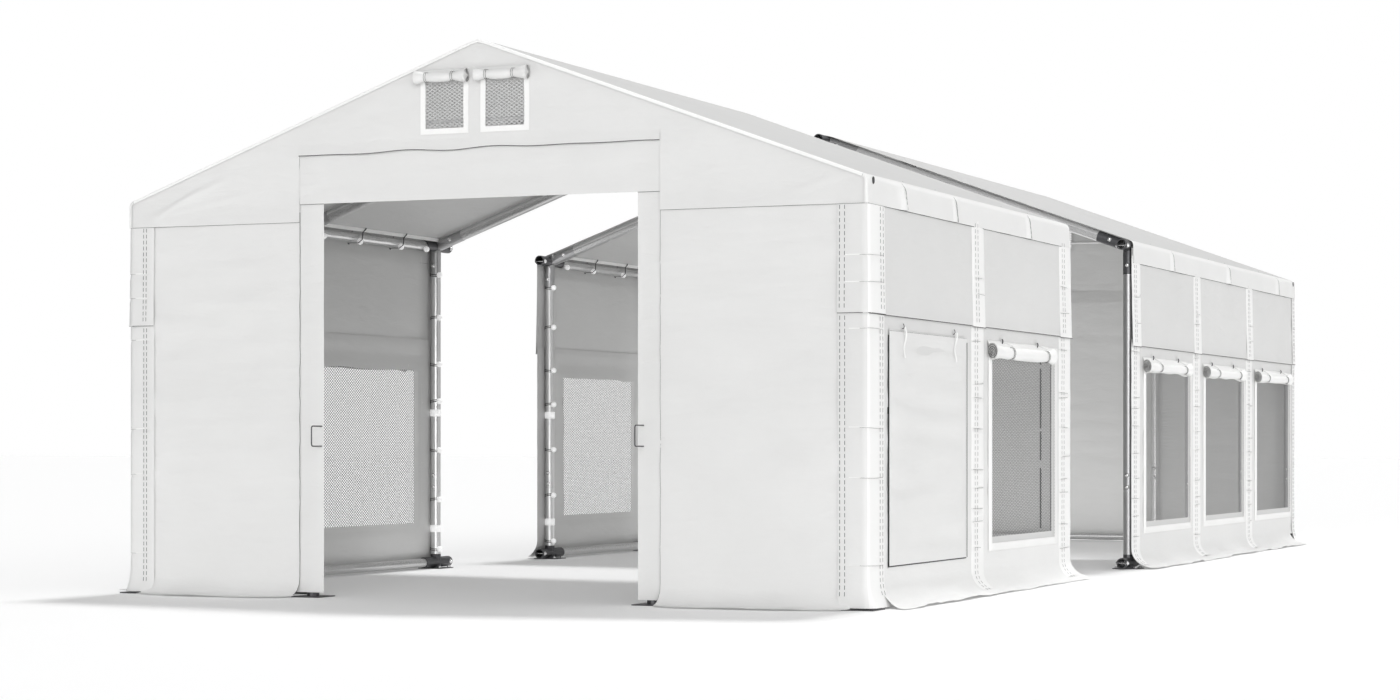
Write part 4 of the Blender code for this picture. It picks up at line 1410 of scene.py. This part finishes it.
def roof_line():
    """Places and ways out across the roof, from the middle of the ridge down to the right hem."""
    cx = EAVE_OUT - EAVE_BEND
    cz = RIDGE_TOP - SLOPE * cx - EAVE_BEND / math.cos(SLANT)
    ridge_r = 0.10
    ridge_drop = ridge_r * (1 / math.cos(SLANT) - 1)
    points, normals = [], []
    for turn in np.linspace(0, SLANT, 5):
        points.append((ridge_r * math.sin(turn), RIDGE_TOP - ridge_drop - ridge_r * (1 - math.cos(turn))
                       + 0.0))
        normals.append((math.sin(turn), math.cos(turn)))
    for turn in np.linspace(SLANT, math.pi / 2, 9):
        points.append((cx + EAVE_BEND * math.sin(turn), cz + EAVE_BEND * math.cos(turn)))
        normals.append((math.sin(turn), math.cos(turn)))
    points.append((EAVE_OUT, HEM))
    normals.append((1.0, 0.0))
    return np.array(points), np.array(normals)


half_points, half_normals = roof_line()
half_along = np.concatenate([[0.0], np.cumsum(np.hypot(*np.diff(half_points, axis=0).T))])
EAVE_AT = half_along[5]
print("half the roof is cut", round(half_along[-1], 3), "m; its eave is at", round(EAVE_AT, 3))


def across_roof(w):
    """x, z and the way out at a length from the ridge; negative on the left."""
    side = np.where(w < 0, -1.0, 1.0)
    s = np.abs(w)
    x, z, nx, nz = [np.interp(s, half_along, c) for c in (*half_points.T, *half_normals.T)]
    return side * x, z, side * nx, nz


# %% Roof sheets
VALANCE_FOLDS = {"front": ((-5.41, 1.0), (-4.41, 0.6), (-2.82, 0.7)),
                 "rear": ((1.187, 0.8), (3.197, 0.9), (5.228, 0.8))}


def fold_height(d, size):
    """A fold that rises slowly from one side and drops sharply on the other."""
    return 0.027 * size * np.where(d < 0, np.exp(-((d / (0.05 * size)) ** 2)), np.exp(-((d / 0.008) ** 2)))


LIP_R = 0.010
ROOF_END = 6.0405


def roof_sheet(half, open_end, seed):
    way = half["way"]
    flat_end = ROOF_END - LIP_R
    curl = LIP_R * math.pi / 2
    lip = 0.010
    full = flat_end - way * open_end
    folds = VALANCE_FOLDS[half["name"]]
    marks = [full - abs(flat_end - way * f) for f, _ in folds]
    fine = [m + d for m in marks for d in np.linspace(-0.10, 0.08, 19)]
    along = lines(0.0, full + curl + lip, 0.05, full, full + curl / 3, full + curl * 2 / 3, full + curl, *fine)
    edge = [EAVE_AT, half_along[-1], *half_along[6:14]]
    side_marks = lines(0.0, half_along[-1], 0.055, *edge, *[half_along[-1] - d for d in (0.03, 0.06, 0.09)])
    across = np.concatenate([-side_marks[:0:-1], side_marks])

    def rule(t, w):
        x, z, nx, nz = across_roof(w)
        y = way * (way * open_end + np.clip(t, 0, full))
        bend = np.clip((t - full) / curl, 0, 1) * math.pi / 2
        tail = np.clip(t - full - curl, 0, None)
        y = y + way * LIP_R * np.sin(bend)
        depth = LIP_R * (1 - np.cos(bend)) + tail
        slope_share = np.clip(np.abs(w) / EAVE_AT, 0, 1)
        bay = np.abs(np.sin(math.pi * y / 2.0))
        flat_zone = np.clip((6.0 - np.abs(y)) / 0.3, 0, 1)
        sag = 0.012 * bay * np.sin(math.pi * slope_share) * flat_zone
        sag = sag + 0.0016 * swell(y, w, seed, 1.6, 0.22) * flat_zone * np.sin(math.pi * slope_share)
        hem = np.clip((np.abs(w) - EAVE_AT - 0.05) / 0.10, 0, 1)
        rise = 0.0022 * hem * swell(y, w * 0, seed + 2, 0.45, 1.0) * flat_zone
        rise = rise + 0.0012 * swell(y, w, seed + 3, 0.2, 0.2) * hem * flat_zone
        down = np.clip((np.abs(w) - EAVE_AT - 0.020) / 0.045, 0, 1)
        low = np.clip((np.abs(w) - EAVE_AT - 0.06) / 0.08, 0, 1)
        for f, size in folds:
            slant = 0.32 * (half_along[-1] - np.abs(w))
            rise = rise + down * fold_height(y - f + slant, size)
            rise = rise + 0.35 * low * fold_height(y - f + 0.13 + 0.5 * slant, size * 0.6)
        move = rise - sag - depth
        return x + nx * move, y, z + nz * move
    name = f"roof_cover_{half['name']}"
    made = build(name, [grid_mesh(along, across, rule)], ROOF_SHADED, lambda p: np.array([0, 0, 1.0]))
    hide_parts(name)
    print(name, "cut", round(full + curl + lip, 2), "by", round(2 * half_along[-1], 2))
    return made


roof_front = roof_sheet(FRONT_HALF, -1.83, 300)
roof_rear = roof_sheet(REAR_HALF, -0.05, 310)

# %% [markdown]
# The valance and the lip over the gable are brighter than the roof. They are the same sheet, so their
# faces get a finish of their own: the roof's darker tone is painted shade, and the near-white lip is a painted
# highlight.

# %% Finish of the valances and lips
for made in (roof_front, roof_rear):
    made.data.materials.append(VALANCE)
    made.data.materials.append(EDGE)
    count = 0
    for face in made.data.polygons:
        c = face.center
        # Painted highlight: the lip takes the near-white edge cloth.
        lip = abs(c.y) > ROOF_END - LIP_R - 0.002 and abs(c.x) < 2.48
        valance = abs(c.x) > EAVE_OUT - 0.030
        face.material_index = 2 if lip else int(valance)
        count += lip or valance
    print(made.name, count, "faces of valance and lip")

# %% [markdown]
# ## Gables
# Each gable is a sheet that fills the triangle under the roof and laps over the walls below. It has two
# small windows under rolls. In front its hem is higher over the doorway, where it laps over a header.

# %% Gable sheets
GABLE_BASE = 6.0305
NOTCH_Z = 2.765
SMALL_WINDOWS = ((-0.3635, -0.1005), (0.0505, 0.3135))
SMALL_BOTTOM, SMALL_TOP = 2.893, 3.19


def roof_under(x, gap=0.006):
    """The height of the gable sheet's top edge at a place across the tent."""
    return np.minimum(RIDGE_TOP - SLOPE * np.abs(x) - gap / math.cos(SLANT), RIDGE_TOP - 0.012)


def gable_height(x, z, seed, way):
    edge = np.clip((roof_under(x) - z) / 0.15, 0, 1)
    h = 0.0022 * edge * swell(x, z, seed, 0.7, 0.35)
    for start, end, width, high in (
            ((-2.38, 2.40), (-1.75, 2.66), 0.022, 0.007), ((-2.36, 2.38), (-1.95, 2.60), 0.014, 0.006),
            ((-2.30, 2.42), (-1.60, 2.54), 0.020, 0.005), ((-0.95, 3.03), (-0.62, 2.93), 0.018, 0.006),
            ((-0.80, 3.10), (-0.52, 3.02), 0.012, 0.005), ((0.42, 2.86), (0.66, 2.79), 0.014, 0.005),
            ((1.35, 2.55), (1.75, 2.44), 0.020, 0.006), ((1.15, 2.82), (1.55, 2.62), 0.028, 0.005),
            ((-0.45, 2.86), (-0.40, 3.12), 0.015, 0.005), ((2.05, 2.42), (2.34, 2.52), 0.02, 0.005)):
        h = h + high * crease(x, z, start, end, width)
    return h * np.clip((2.46 - np.abs(x)) / 0.12, 0, 1)


def gable_sheet(way, seed):
    name = f"gable_sheet_{'rear' if way > 0 else 'front'}"
    notch = way < 0
    sheets = []
    marks = [m for w in SMALL_WINDOWS for m in w] + [DOOR_LEFT, DOOR_RIGHT, 0.0]
    across = lines(-2.512, 2.512, 0.03, *marks)

    def rule(bottom, wavy):
        def place(x, share):
            top = roof_under(x)
            low = bottom + wavy * 0.006 * swell(x, x * 0, seed + 4, 0.5, 1.0)
            low = np.minimum(low, top - 0.001)
            z = top + (low - top) * share
            if wavy:
                rise = gable_height(x, z, seed, way) + 0.010 * np.clip((2.83 - z) / 0.07, 0, 1)
            else:
                rise = gable_height(x, z, seed, way)
            return x, way * (GABLE_BASE + rise), z
        return place

    def flat_places(mesh):
        p, f, flat = mesh
        return p, f, np.stack([p[:, 0], p[:, 2]], axis=1)
    down = np.linspace(0, 1, 40)
    small = [(a, 0.0, b, 1.0) for a, b in SMALL_WINDOWS]
    if notch:
        for low, high in ((-2.512, DOOR_LEFT), (DOOR_RIGHT, 2.512)):
            part = across[(across >= low - 1e-9) & (across <= high + 1e-9)]
            sheets.append(flat_places(grid_mesh(part, down, rule(HEM, 0))))
        middle = across[(across >= DOOR_LEFT - 1e-9) & (across <= DOOR_RIGHT + 1e-9)]
        sheets.append(flat_places(grid_mesh(middle, np.linspace(0, 1, 26), rule(NOTCH_Z, 1), small)))
    else:
        sheets.append(flat_places(grid_mesh(across, down, rule(HEM, 0), small)))
    for a, b in SMALL_WINDOWS:
        part = lines(a, b, 0.05)

        def above(x, share):
            z = roof_under(x) + (SMALL_TOP - roof_under(x)) * share
            return x, way * (GABLE_BASE + gable_height(x, z, seed, way)), z

        def below(x, share):
            bottom = NOTCH_Z + 0.006 * swell(x, x * 0, seed + 4, 0.5, 1.0) if notch else HEM + x * 0
            z = SMALL_BOTTOM + (bottom - SMALL_BOTTOM) * share
            lap = 0.010 * np.clip((2.83 - z) / 0.07, 0, 1) if notch else 0.0
            return x, way * (GABLE_BASE + gable_height(x, z, seed, way) + lap), z
        sheets.append(flat_places(grid_mesh(part, np.linspace(0, 1, 6), above)))
        sheets.append(flat_places(grid_mesh(part, np.linspace(0, 1, 20), below)))
    made = build(name, sheets, PANEL, lambda p: np.array([0, way, 0]))
    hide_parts(name)
    return made


gable_front = gable_sheet(-1, 400)
gable_rear = gable_sheet(1, 410)

# %% Small windows
SMALL_MIDDLE, SMALL_RADII = (0.036, 3.205), (0.030, 0.033)


def small_windows(way):
    word = "rear" if way > 0 else "front"
    borders, nets, rolls, loops = [], [], [], []
    base = GABLE_BASE + 0.001
    for index, (a, b) in enumerate(SMALL_WINDOWS):
        across = lines(a - 0.034, b + 0.034, 0.05, a, b)
        down = lines(SMALL_BOTTOM - 0.034, SMALL_TOP + 0.05, 0.05, SMALL_BOTTOM, SMALL_TOP)
        hole = (a, SMALL_BOTTOM, b, SMALL_TOP)
        borders.append(grid_mesh(across, down, lambda x, z: (
            x, way * (base + 0.003 + gable_height(x, z, 400 if way < 0 else 410, way)), z), [hole]))
        nets.append(grid_mesh(lines(a - 0.02, b + 0.02, 0.06), lines(SMALL_BOTTOM - 0.02, SMALL_TOP + 0.02, 0.06),
                              lambda x, z: (x, way * (GABLE_BASE - 0.0035) + 0 * z, z)))

        def place(x, out, z):
            return x, way * (GABLE_BASE + 0.004 + out), z
        start, end = a - 0.050, b + 0.040
        ties = [a + 0.025, b - 0.055]
        rolls.append(roll_sheet(start, end, SMALL_MIDDLE, SMALL_RADII, ties, 3.252, place, 500 + index, 0.002))
        for at, way_out in ((start, -1), (end, 1)):
            rolls.append(roll_end(at, way_out, SMALL_MIDDLE, SMALL_RADII, 1.3, place))
        for tie in ties:
            for shift in (-0.006, 0.006):
                ring = [place(tie + shift, SMALL_MIDDLE[0] + (SMALL_RADII[0] * 0.86 + 0.002) * math.cos(t),
                              SMALL_MIDDLE[1] + (SMALL_RADII[1] * 0.86 + 0.002) * math.sin(t))
                        for t in np.linspace(0, math.tau, 17)[:-1]]
                loops.append(tube_mesh(ring, 0.0011, 5, closed=True))
    border = build(f"gable_borders_{word}", borders, EDGE, lambda p: np.array([0, way, 0]))
    net = build(f"gable_net_{word}", nets, LIT_GABLE_NETTING, lambda p: np.array([0, way, 0]))
    roll = build(f"gable_rolls_{word}", rolls, VALANCE)
    build(f"gable_roll_loops_{word}", loops, DARK_THREAD_AND_SHADE)
    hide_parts(f"gable_net_{word}")
    return border, net, roll


small_windows(-1)
small_windows(1)

# %% [markdown]
# ## Doorway
# A header panel closes the gable above the doorway, and a strip covers each door post. They are one sewn
# piece behind the gable sheet and the front panels.

# %% Door header and strips
HEADER_LOW, HEADER_HIGH = 2.46, 2.80
JAMB_LEFT, JAMB_RIGHT, JAMB_LOW = -1.090, 1.063, 0.03
header = grid_mesh(lines(DOOR_LEFT - 0.004, DOOR_RIGHT + 0.004, 0.03), lines(HEADER_LOW, HEADER_HIGH, 0.02),
                   lambda x, z: (x, -(6.0255 + 0.0016 * swell(x, z, 601, 0.8, 0.16)
                                      * np.clip((z - HEADER_LOW) / 0.05, 0, 1)), z))
strips = []
for low, high in ((DOOR_LEFT - 0.028, JAMB_LEFT), (JAMB_RIGHT, DOOR_RIGHT + 0.028)):
    strips.append(grid_mesh(lines(low, high, 0.03), lines(JAMB_LOW, HEADER_LOW + 0.06, 0.03),
                            lambda x, z: (x, -(6.0195 + 0.0010 * swell(x, z, 611, 0.4, 0.25)), z)))
surround = build("front_door_surround", [header, *strips], PANEL, lambda p: np.array([0, -1, 0]))
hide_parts("front_door_surround")
area = 2.524 * 0.34 + 2 * 0.189 * (HEADER_LOW + 0.06 - JAMB_LOW)
max(area, 0.3001 * 2.524 * 2.77)
print("doorway", round(JAMB_RIGHT - JAMB_LEFT, 2), "m wide")

# %% [markdown]
# ## Small parts
# The covers are laced to the tubes with elastic loops that end in a plastic ball. Each loop goes round
# the tube and through an eyelet in the cloth. Rows of such small things are made as one joined mesh,
# with a short helper for each shape.

# %% Ties with balls on the posts
TIE_LEVELS = (2.26, 1.93, 1.57, 1.286, 0.91, 0.53, 0.148)
balls, loops, bands = [], [], []
for y in FRAME_Y:
    x = -HALF_SPAN
    aim = np.array([0.871, 0.566 if y < -5 else -0.566, 0.0])
    for number, z in enumerate(TIE_LEVELS):
        balls.append(turned(BALL, np.array([x, y, z]) + aim * 0.059, (0, 0, 1)))
        for lift in (-0.007, 0.006):
            ring = []
            for k in range(16):
                a = math.tau * k / 16
                way = np.array([math.cos(a), math.sin(a), 0.0])
                reach = 0.0412 + 0.012 * max(0.0, float(way @ aim)) ** 6
                tilt = 0.006 * float(way @ aim) * (1 if number % 2 else -1)
                ring.append(np.array([x, y, z + lift + tilt]) + way * reach)
            loops.append(tube_mesh(ring, 0.0029, 5, closed=True))
    for z in (1.197, 0.306):
        def band_rule(angle, h, x=x, y=y, z=z):
            r = 0.0388 * (1 + 0.07 * (np.abs(h) < 0.026))
            return x + r * np.cos(angle), y + r * np.sin(angle), z + h
        bands.append(grid_mesh(np.linspace(0, math.tau, 25), np.array([-0.027, -0.025, 0.025, 0.027]), band_rule))
small_piece("tie_balls_posts", balls, PLASTIC)
small_piece("tie_loops_posts", loops, DARK_ELASTIC_AND_SHADE)
small_piece("post_bands", bands, PLASTIC)

# %% Ties along the eave tubes
BALL_IN, BALL_HEIGHT = 2.424, 2.438
TIE_SPOTS = (0.755, 1.37)


def eave_tie(side, y):
    """The ball, its elastic paths and the two hooks of one tie. The elastic goes up in front of the tube
    to a hook on the roof, lies over the tube, and comes back under it to a second hook."""
    def at(x, along, z):
        return np.array([side * x, y + along, z])
    ball = turned(BALL, at(BALL_IN, 0.0, BALL_HEIGHT), (0, 0, 1))
    up = [at(2.412, -0.050, 2.424), at(2.400, -0.012, 2.450), at(2.412, 0.020, 2.484), at(2.424, 0.040, 2.506),
          at(2.426, 0.090, 2.536)]
    over = [at(2.440, -0.090, 2.504), at(2.455, -0.060, 2.510), at(2.472, -0.020, 2.5125)]
    under = [at(2.428, -0.006, 2.430), at(2.440, -0.05, 2.426), at(2.442, -0.09, 2.424), at(2.436, -0.145, 2.418)]
    hooks = [[at(2.428, 0.080, 2.528), at(2.424, 0.088, 2.536), at(2.428, 0.094, 2.543)],
             [at(2.436, -0.140, 2.414), at(2.430, -0.150, 2.410), at(2.436, -0.158, 2.420)]]
    return ball, [tube_mesh(path, 0.0022, 5) for path in (over, under)] + [tube_mesh(up, 0.0034, 6)], [tube_mesh(h, 0.0042, 6) for h in hooks]


balls, loops, hooks = [], [], []
for half in HALVES:
    spots = [f + d for f in half["frames"][:-1] for d in TIE_SPOTS]
    for side in (-1, 1):
        for y in spots:
            ball, cords, ends = eave_tie(side, y)
            balls.append(ball)
            loops += cords
            hooks += ends
        for frame_y in [f for f in half["frames"] if abs(f) < 5]:
            for shift in (-0.235, 0.235):
                if half["ends"][0] < frame_y + shift < half["ends"][1]:
                    balls.append(turned(BALL, (side * 2.422, frame_y + shift, 2.444), (0, 0, 1)))
small_piece("tie_balls_eaves", balls, PLASTIC)
small_piece("tie_loops_eaves", loops, DARK_ELASTIC_AND_SHADE)
small_piece("tie_hooks_eaves", hooks, DARK_CAST_AND_SHADE)

# %% [markdown]
# ### Bolts, eyelets and handles
# The connectors are held by bolts. Their heads are on the front side, and long bolts cross the open
# sockets of the bay without a cover. Each turned head is placed by its point and its direction.

# %% Bolts
BOLT_LONG = 0.0055
heads, shanks = [], []
for y in FRAME_Y:
    for side in (-1, 1):
        x = side * HALF_SPAN
        for dx, z, out in ((0.008, 2.473, 0.0405), (0.002, 2.33, 0.0398), (-0.139, 2.53, 0.0398),
                           (0.0, 0.717, 0.0380), (0.0, 0.628, 0.0380)):
            heads.append(turned(BOLT_HEAD, (x + side * dx, y - out, z), (0, -1, 0)))
        ring = [(x + 0.0386 * math.cos(a), y + 0.0386 * math.sin(a), 0.597) for a in np.linspace(0, math.tau, 25)[:-1]]
        shanks.append(tube_mesh(ring, 0.0018, 5, closed=True))
        for dx in (-0.075, 0.075):
            for dy in (-0.075, 0.075):
                inside = -5.9 < y + dy < 5.9 or abs(y + dy) < abs(y)
                if inside:
                    heads.append(turned(BOLT_HEAD, (x + dx, y + dy, 0.008), (0, 0, 1)))
    for dx in (-0.09, 0.09):
        heads.append(turned(BOLT_HEAD, (dx, y - 0.0398, RIDGE_Z - SLOPE * abs(dx)), (0, -1, 0)))
for y, out_way in ((-2.0, 1), (0.0, -1)):
    at_end = y + out_way * 0.172
    for side in (-1, 1):
        x = side * HALF_SPAN
        for z, reach in ((EAVE_Z, 0.047), (0.048, 0.045)):
            shanks.append(tube_mesh([(x - reach, at_end, z), (x, at_end, z), (x + reach, at_end, z)], BOLT_LONG, 8))
            for way in (-1, 1):
                heads.append(turned(BOLT_HEAD, (x + way * (reach - 0.006), at_end, z), (way, 0, 0)))
for x in (-1.17, 1.17):
    for z in (0.717, 0.628, 1.9):
        heads.append(turned(BOLT_HEAD, (x, 5.937, z), (0, -1, 0)))
small_piece("bolt_heads", heads, BOLT)
small_piece("bolt_shanks", shanks, BOLT)

# %% Eyelets, handles and the rear zip
discs, rims = [], []
for side in (-1, 1):
    for way, y in ((-1, -5.947), (1, 5.947)):
        turn = np.linspace(0, math.tau, 21)[:-1]
        plane = side * (EAVE_OUT + 0.0012)
        rims.append(tube_mesh([(plane, y + 0.0165 * math.cos(a), 2.484 + 0.0205 * math.sin(a)) for a in turn],
                              0.0022, 6, closed=True))
        # Painted shade: a dark disc fills each eyelet, where the hole shows the dark inside.
        discs.append(grid_mesh(np.linspace(0, math.tau, 21), np.array([0.05, 0.6, 0.95]), lambda a, r, plane=plane, y=y: (
            plane + 0 * a, y + 0.0165 * r * np.cos(a), 2.484 + 0.0205 * r * np.sin(a))))
small_piece("eyelet_rims", rims, DARK_CAST_AND_SHADE)
small_piece("eyelet_hole_shade", discs, DARK_ELASTIC_AND_SHADE)

HANDLE_LOW, HANDLE_HIGH, HANDLE_OUT = 0.945, 1.07, 0.12
handles = []
for x in (-1.105, 1.100):
    outer, back, bend = -6.026 - HANDLE_OUT, -6.021, 0.014
    path = [(x, back, HANDLE_LOW), (x, outer + bend, HANDLE_LOW), (x, outer + bend * 0.3, HANDLE_LOW + bend * 0.3),
            (x, outer, HANDLE_LOW + bend), (x, outer, HANDLE_HIGH - bend),
            (x, outer + bend * 0.3, HANDLE_HIGH - bend * 0.3), (x, outer + bend, HANDLE_HIGH), (x, back, HANDLE_HIGH)]
    handles.append(tube_mesh(path, 0.0040, 8))
small_piece("door_handles", handles, DARK_CAST_AND_SHADE)

zip_rule = end_rule(1, PANEL_BASE, end_drop, lambda x, s, z: 0.0035 + 0 * x)
inner_rule = end_rule(1, PANEL_BASE, end_drop, lambda x, s, z: -0.0035 + 0 * x)
tapes = [grid_mesh(np.array([-0.008, 0.0, 0.008]), lines(0.02, end_drop.straight, 0.05), rule)
         for rule in (zip_rule, inner_rule)]
rear_zip = small_piece("rear_wall_zip", tapes, ZIP_AND_SHADE)

# %% [markdown]
# A thin dark line runs under the hem of each upper panel, each valance and the header, and along the
# doorway's edges. It is painted shade: the shadow that each hem and edge casts.

# %% Painted shade lines under the hems
cords = []
for half, roof_start, roof_end in ((FRONT_HALF, -6.02, -1.835), (REAR_HALF, -0.045, 6.02)):
    for side in (-1, 1):
        start, end = wall_ends(side, half)
        path = []
        for y in lines(start + 0.003, end - 0.003, 0.04):
            proud = any(a < y < b for a, b in strap_ranges(side, half))
            out = WALL_BASE + float(upper_lean(LAP)) * (1.1 if proud else 0.9) + (0.004 if proud else -0.001)
            path.append((side * out, y, LAP - (0.008 if proud else 0.002)))
        cords.append(tube_mesh(path, 0.0024, 5))
        cords.append(tube_mesh([(side * (EAVE_OUT - 0.004), y, HEM - 0.0005) for y in lines(roof_start, roof_end, 0.2)],
                               0.0022, 5))
        way_strap = -1 if half is FRONT_HALF else 1
        total = TURN_FROM + TURN_LENGTH + (ON_SIDE if way_strap < 0 else ON_REAR_SIDE)
        round_corner = corner_rule(side, way_strap, total, True, 0.0012)
        cords.append(tube_mesh([round_corner(np.array(w), np.array(WALL_TOP - LAP - 0.001))
                                for w in lines(0.0, total, 0.03)], 0.0017, 5))

notch_rise = lambda x, z: GABLE_BASE + float(gable_height(x, z, 400, -1)) + 0.010 * min(max((2.83 - z) / 0.07, 0), 1)
notch_path = []
for x in lines(DOOR_LEFT, DOOR_RIGHT, 0.04):
    z = NOTCH_Z + 0.006 * float(swell(x, x * 0, 404, 0.5, 1.0))
    notch_path.append((x, -notch_rise(x, z), z - 0.001))
cords.append(tube_mesh(notch_path, 0.0024, 5))
for side, inner in ((-1, DOOR_LEFT), (1, DOOR_RIGHT)):
    outside = [(x, -(GABLE_BASE + float(gable_height(x, HEM, 400, -1))), HEM - 0.0005)
               for x in lines(*sorted((inner, side * 2.50)), 0.05)]
    cords.append(tube_mesh(outside, 0.0011, 5))
    panel = end_rule(-1, PANEL_BASE, end_drop, end_wall_height(71 + side, 0.0042))
    edge = [panel(np.array(inner), np.array(s)) for s in lines(0.0, end_drop.length - 0.16, 0.05)]
    cords.append(tube_mesh([(x, y - 0.0008, z) for x, y, z in edge if z < HEADER_LOW], 0.0016 if side < 0 else 0.0009, 5))
    cords.append(tube_mesh([(inner + side * 0.004, -6.0262, z) for z in lines(HEADER_LOW, NOTCH_Z, 0.05)], 0.0018, 5))
    jamb = JAMB_LEFT if side < 0 else JAMB_RIGHT
    cords.append(tube_mesh([(x, -6.0240, HEADER_LOW - 0.001) for x in lines(*sorted((inner, jamb)), 0.05)], 0.0020, 5))
small_piece("hem_shade_lines", cords, DARK_THREAD_AND_SHADE)

# %% [markdown]
# A sharp fold or crease hides a thin gap in shade behind its edge. That shade is painted: the gaps of the
# valances' folds, the corner straps' creases and the side straps' creases are drawn as fine dark lines on the cloth.

# %% Painted shade behind folds and creases
gaps = []
for side in (-1, 1):
    for folds in VALANCE_FOLDS.values():
        for f, size in folds:
            path = []
            for w in np.linspace(EAVE_AT + 0.035, half_along[-1], 8):
                x, z, nx, nz = [float(v) for v in across_roof(np.array(side * w))]
                rise = 0.027 * size * min(max((w - EAVE_AT - 0.020) / 0.045, 0), 1)
                path.append((x + nx * rise, f - 0.32 * (half_along[-1] - w) + 0.002, z + nz * rise))
            gaps.append(tube_mesh(path, 0.0024 if f < 0 else 0.0015, 5))
    for way in (-1, 1):
        total = TURN_FROM + TURN_LENGTH + (ON_SIDE if way < 0 else ON_REAR_SIDE)
        for level in CORNER_CREASES:
            rule = corner_rule(side, way, total, level > LAP, 0.0004)
            gaps.append(tube_mesh([rule(np.array(w), np.array(WALL_TOP - level + 0.004 * math.sin(9 * w + 40 * level)))
                                   for w in np.linspace(0.30 * total, 0.93 * total, 12)], 0.0010, 5))
    for number, half in enumerate(HALVES):
        seed = 43 + 10 * number + (100 if side > 0 else 0)
        for index, (a, b) in enumerate(strap_ranges(side, half)):
            for at, middle, reach, tilt in crease_marks(seed + index):
                def height(y, s, z, a=a, b=b, up=at > LAP):
                    return (upper_lean(z) * 1.15 if up else 0.0) + hump((y - a) / (b - a), 0.0062) + 0.0008
                rule = side_rule(side, WALL_BASE, side_drop, height)
                shares = np.linspace(max(0.06, middle - 0.6 * reach), min(0.94, middle + 0.6 * reach), 8)
                gaps.append(tube_mesh([rule(np.array(a + share * (b - a)), np.array(WALL_TOP - at - tilt * share))
                                       for share in shares], 0.0011, 5))
small_piece("fold_shade_lines", gaps, PALE_THREAD_AND_SHADE)

# %% [markdown]
# A pale strip of cloth hangs from the roof's inside down to each eave tube. The ties hook into it.

# %% Eave bands
for half, start, end in ((FRONT_HALF, -5.98, -1.84), (REAR_HALF, -0.04, 5.98)):
    for side in (-1, 1):
        top = RIDGE_TOP - SLOPE * 2.43 - 0.004
        band = build(f"eave_band_{'right' if side > 0 else 'left'}_{half['name']}",
                     [grid_mesh(lines(start, end, 0.1), lines(2.513, top, 0.02),
                                lambda y, z, side=side: (side * (2.430 + 0 * y), y, z))], EDGE)
print("eave bands hang", round(RIDGE_TOP - SLOPE * 2.43 - 0.004 - 2.513, 3), "m")

# %% [markdown]
# ### Stitches
# Every strap is held by two rows of dark stitches. Each stitch is a short raised dash that lies on the
# cloth, so it uses the same rule as the strap under it.

# %% Stitch rows
STITCH, GAP_AFTER, STITCH_WIDE, SIDE_STITCH_WIDE = 0.024, 0.014, 0.0036, 0.0064


def stitch_row(rule, u, low, high, wide=STITCH_WIDE):
    """Dashes down a rule at a fixed place across it."""
    starts = np.arange(low, high - STITCH, STITCH + GAP_AFTER)
    parts = []
    for s in starts:
        parts.append(grid_mesh(u + wide * np.array([-0.5, 0.0, 0.5]), np.array([s, s + STITCH]), rule))
    return parts


def side_stitches(side, half, seed):
    parts = []
    for index, (a, b) in enumerate(strap_ranges(side, half)):
        key = seed + index
        for offset in STITCH_ROWS:
            def lower(y, s, z, a=a, b=b, key=key):
                ridge = 0.0012 * (np.abs(y - (a + offset)) < 0.001)
                return hump((y - a) / (b - a), 0.0065) + 0.001 * swell(y, s, key, 0.3, 0.4) + 0.0018 + ridge

            def upper(y, s, z, a=a, b=b):
                ridge = 0.0012 * (np.abs(y - (a + offset)) < 0.001)
                return upper_lean(z) * 1.15 + hump((y - a) / (b - a), 0.006) + 0.0018 + ridge
            parts += stitch_row(side_rule(side, WALL_BASE, side_drop, lower), a + offset,
                                WALL_TOP - 1.705, side_drop.length - 0.06, SIDE_STITCH_WIDE)
            parts += stitch_row(side_rule(side, WALL_BASE, side_drop, upper), a + offset, 0.09, WALL_TOP - 1.72,
                                SIDE_STITCH_WIDE)
    return parts


for side in (-1, 1):
    for number, half in enumerate(HALVES):
        seed = 43 + 10 * number + (100 if side > 0 else 0)
        word = "right" if side > 0 else "left"
        small_piece(f"stitches_{word}_{half['name']}", side_stitches(side, half, seed), PALE_THREAD_AND_SHADE)

past_turn = TURN_FROM + TURN_LENGTH
parts = []
for side in (-1, 1):
    for way in (-1, 1):
        total = past_turn + (ON_SIDE if way < 0 else ON_REAR_SIDE)
        on_gable = (0.014, 0.045) if side > 0 else (0.056, 0.077)
        on_side = (0.1755, 0.2275) if way < 0 else (0.04, 0.08)
        for w in (*on_gable, *[past_turn + s for s in on_side]):
            wide = STITCH_WIDE if w < TURN_FROM else SIDE_STITCH_WIDE
            parts += stitch_row(corner_rule(side, way, total, False, 0.0018), w, WALL_TOP - 1.70, WALL_TOP - 0.06, wide)
            parts += stitch_row(corner_rule(side, way, total, True, 0.0018), w, 0.12, WALL_TOP - 1.72, wide)
small_piece("stitches_corners", parts, DARK_THREAD_AND_SHADE)

# %% Finish
low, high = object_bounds()
{"cad": [list(cad_low), list(cad_high)], "visual": [list(low), list(high)]}
print("model box", [round(x, 3) for x in low], [round(x, 3) for x in high])
